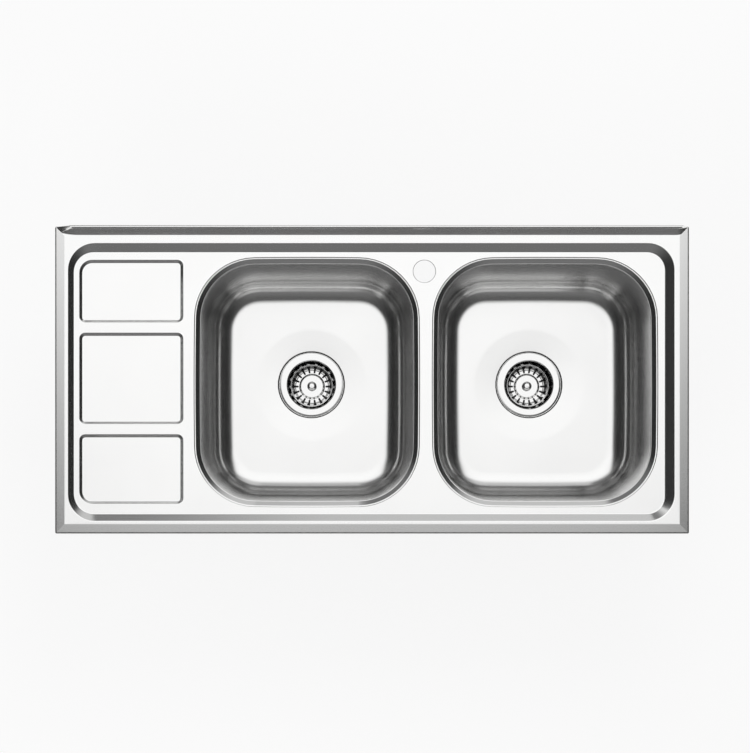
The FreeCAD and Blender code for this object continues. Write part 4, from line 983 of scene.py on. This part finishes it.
def build_floor():
    """A wide pale floor that looks white to the camera and keeps the sink's shadow."""
    studio = sizes("studio")
    mesh = bmesh.new()
    bmesh.ops.create_grid(mesh, x_segments=8, y_segments=8, size=FLOOR_REACH)
    data = bpy.data.meshes.new("studio_floor")
    mesh.to_mesh(data)
    mesh.free()
    floor = bpy.data.objects.new("studio_floor", data)
    floor.location.z = cad_bounds[0][2] - FLOOR_GAP
    bpy.context.scene.collection.objects.link(floor)
    material, tree, shader = new_material("pale_floor")
    output = next(node for node in tree.nodes if node.type == "OUTPUT_MATERIAL")
    shader.inputs["Base Color"].default_value = (*[studio.floor_shade] * 3, 1)
    shader.inputs["Roughness"].default_value = 0.9
    glow = add_node(tree, "ShaderNodeEmission", {"Strength": 1.0})
    rays = tree.nodes.new("ShaderNodeLightPath").outputs
    seen = math_node(tree, "MAXIMUM", rays["Is Camera Ray"],
                     math_node(tree, "MAXIMUM", rays["Is Glossy Ray"],
                               rays["Is Transmission Ray"]))
    factor = math_node(tree, "MULTIPLY", seen, studio.floor_glow)
    mixed = add_node(tree, "ShaderNodeMixShader", {0: factor, 1: shader.outputs[0],
                                                   2: glow.outputs[0]})
    tree.links.new(mixed.outputs[0], output.inputs["Surface"])
    data.materials.append(material)


def soft_step(tree, value, from_low, from_high, low, high):
    """A soft step from low to high, level on both sides."""
    node = add_node(tree, "ShaderNodeMapRange", {
        "Value": value, "From Min": from_low, "From Max": from_high,
        "To Min": low, "To Max": high}, interpolation_type="SMOOTHSTEP")
    return node.outputs["Result"]


def build_world():
    """A white room with one broad light above and a window low down behind the sink.
    The light's place is measured in steps aside and ahead for one step up."""
    studio = sizes("studio")
    world = bpy.data.worlds.new("studio_room")
    bpy.context.scene.world = world
    world.use_nodes = True
    tree = world.node_tree
    tree.nodes.clear()
    way = tree.nodes.new("ShaderNodeTexCoord").outputs["Generated"]
    parts = add_node(tree, "ShaderNodeSeparateXYZ", {0: way}).outputs
    height = math_node(tree, "MAXIMUM", parts[2], LEAST_HEIGHT)
    aside = math_node(tree, "DIVIDE", math_node(tree, "ABSOLUTE", parts[0]), height)
    ahead = math_node(tree, "DIVIDE", parts[1], height)
    outside = math_node(tree, "MAXIMUM",
                        math_node(tree, "SUBTRACT", aside, studio.panel_half), 0.0)
    edge = math_node(tree, "MULTIPLY_ADD", outside, studio.panel_slant, studio.panel_edge)
    panel = soft_step(tree, math_node(tree, "SUBTRACT", edge, ahead), *PANEL_FRONT)
    depth = soft_step(tree, ahead, *PANEL_REAR)
    top = math_node(tree, "MULTIPLY", math_node(tree, "MULTIPLY", panel, depth),
                    studio.top_light)
    behind = math_node(tree, "MAXIMUM", parts[1], LEAST_BEHIND)
    slant = math_node(tree, "DIVIDE", parts[0], behind)
    window = math_node(tree, "MULTIPLY", soft_step(tree, slant, *WINDOW_LEFT),
                       soft_step(tree, slant, *WINDOW_RIGHT))
    window = math_node(tree, "MULTIPLY", window, soft_step(tree, parts[1], *WINDOW_FRONT))
    front = soft_step(tree, parts[1], *ROOM_FRONT)
    side = soft_step(tree, math_node(tree, "ABSOLUTE", parts[0]), *ROOM_SIDES)
    around = math_node(tree, "MAXIMUM", window, math_node(tree, "MULTIPLY", front, side))
    room = math_node(tree, "MAXIMUM", top, around)
    rays = tree.nodes.new("ShaderNodeLightPath").outputs
    plain = math_node(tree, "ADD", math_node(tree, "MULTIPLY", rays["Is Glossy Ray"],
                                             math_node(tree, "SUBTRACT", room,
                                                       studio.plain_light)),
                      studio.plain_light)
    seen = math_node(tree, "MAXIMUM", rays["Is Camera Ray"], rays["Is Transmission Ray"])
    strength = math_node(tree, "ADD", math_node(tree, "MULTIPLY", plain,
                                                math_node(tree, "SUBTRACT", 1.0, seen)), seen)
    glow = add_node(tree, "ShaderNodeBackground", {"Strength": strength})
    output = tree.nodes.new("ShaderNodeOutputWorld")
    tree.links.new(glow.outputs[0], output.inputs["Surface"])


def build_camera():
    studio = sizes("studio")
    data = bpy.data.cameras.new("studio_camera")
    camera = bpy.data.objects.new("studio_camera", data)
    bpy.context.scene.collection.objects.link(camera)
    frame_level = DECK_HIGH.z - sizes("deck").upstand
    distance = studio.eye_height - frame_level
    data.sensor_width = 36
    data.lens = studio.pixels_per_metre * distance / PICTURE_HIGH * data.sensor_width
    data.clip_end = 50
    camera.location = (studio.eye_x, studio.eye_y, studio.eye_height)
    scale = studio.pixels_per_metre / PICTURE_HIGH
    data.shift_x = (studio.middle_x - studio.eye_x) * scale
    data.shift_y = (studio.middle_y - studio.eye_y) * scale
    bpy.context.scene.camera = camera


def build_lamps():
    """Two large soft lamps that give the matt pieces some shape."""
    for name, place, power in LAMPS:
        data = bpy.data.lights.new(name, "AREA")
        data.shape = "SQUARE"
        data.size = LAMP_SIZE
        data.energy = power
        lamp = bpy.data.objects.new(name, data)
        lamp.location = place
        lamp.rotation_euler = (-Vector(place)).to_track_quat("-Z", "Y").to_euler()
        lamp.visible_glossy = False
        bpy.context.scene.collection.objects.link(lamp)


# ------------------------------------------------------------------ operators and panel

class SINK_OT_deck(bpy.types.Operator):
    """Build the pressed deck with its rim, trays and bowl mouths"""
    bl_idname = "sink.deck"
    bl_label = "Deck"

    def execute(self, context):
        build_deck()
        return {"FINISHED"}


class SINK_OT_bowls(bpy.types.Operator):
    """Build the two drawn bowls"""
    bl_idname = "sink.bowls"
    bl_label = "Bowls"

    def execute(self, context):
        for side in SIDES:
            build_bowl(side)
        return {"FINISHED"}


class SINK_OT_strainers(bpy.types.Operator):
    """Build the strainer cups"""
    bl_idname = "sink.strainers"
    bl_label = "Strainer cups"

    def execute(self, context):
        for side in SIDES:
            build_cup(side)
        return {"FINISHED"}


class SINK_OT_baskets(bpy.types.Operator):
    """Build the lift-out baskets and their knobs"""
    bl_idname = "sink.baskets"
    bl_label = "Baskets"

    def execute(self, context):
        for side in SIDES:
            build_basket(side)
            build_knob(side)
        return {"FINISHED"}


class SINK_OT_fittings(bpy.types.Operator):
    """Give the seals, wastes, rails and brackets their finishes"""
    bl_idname = "sink.fittings"
    bl_label = "Fittings"

    def execute(self, context):
        finish_nodes()
        return {"FINISHED"}


class SINK_OT_studio(bpy.types.Operator):
    """Set up the floor, the light and the camera"""
    bl_idname = "sink.studio"
    bl_label = "Studio"

    def execute(self, context):
        build_floor()
        build_world()
        build_lamps()
        build_camera()
        context.scene.view_settings.view_transform = "Standard"
        return {"FINISHED"}


OPERATORS = (SINK_OT_deck, SINK_OT_bowls, SINK_OT_strainers, SINK_OT_baskets,
             SINK_OT_fittings, SINK_OT_studio)
GROUPS = {"deck": DeckSizes, "tray": TraySizes, "bowl": BowlSizes, "strainer": StrainerSizes,
          "finish": SinkFinish, "studio": StudioSettings}


class VIEW3D_PT_sink(bpy.types.Panel):
    """The sink's pieces and their sizes"""
    bl_label = "Double bowl sink"
    bl_space_type = "VIEW_3D"
    bl_region_type = "UI"
    bl_category = "Sink"

    def draw(self, context):
        for operator in OPERATORS:
            self.layout.operator(operator.bl_idname)
        for name, group in GROUPS.items():
            box = self.layout.box()
            settings = getattr(context.scene, "sink_" + name)
            for field in group.__annotations__:
                box.prop(settings, field)


def register():
    for group in GROUPS.values():
        bpy.utils.register_class(group)
    for operator in OPERATORS:
        bpy.utils.register_class(operator)
    bpy.utils.register_class(VIEW3D_PT_sink)
    for name, group in GROUPS.items():
        setattr(bpy.types.Scene, "sink_" + name, bpy.props.PointerProperty(type=group))


def unregister():
    for name in GROUPS:
        delattr(bpy.types.Scene, "sink_" + name)
    bpy.utils.unregister_class(VIEW3D_PT_sink)
    for operator in reversed(OPERATORS):
        bpy.utils.unregister_class(operator)
    for group in reversed(list(GROUPS.values())):
        bpy.utils.unregister_class(group)


def main():
    register()
    for operator in OPERATORS:
        group, name = operator.bl_idname.split(".")
        getattr(getattr(bpy.ops, group), name)()


if __name__ == "__main__":
    main()
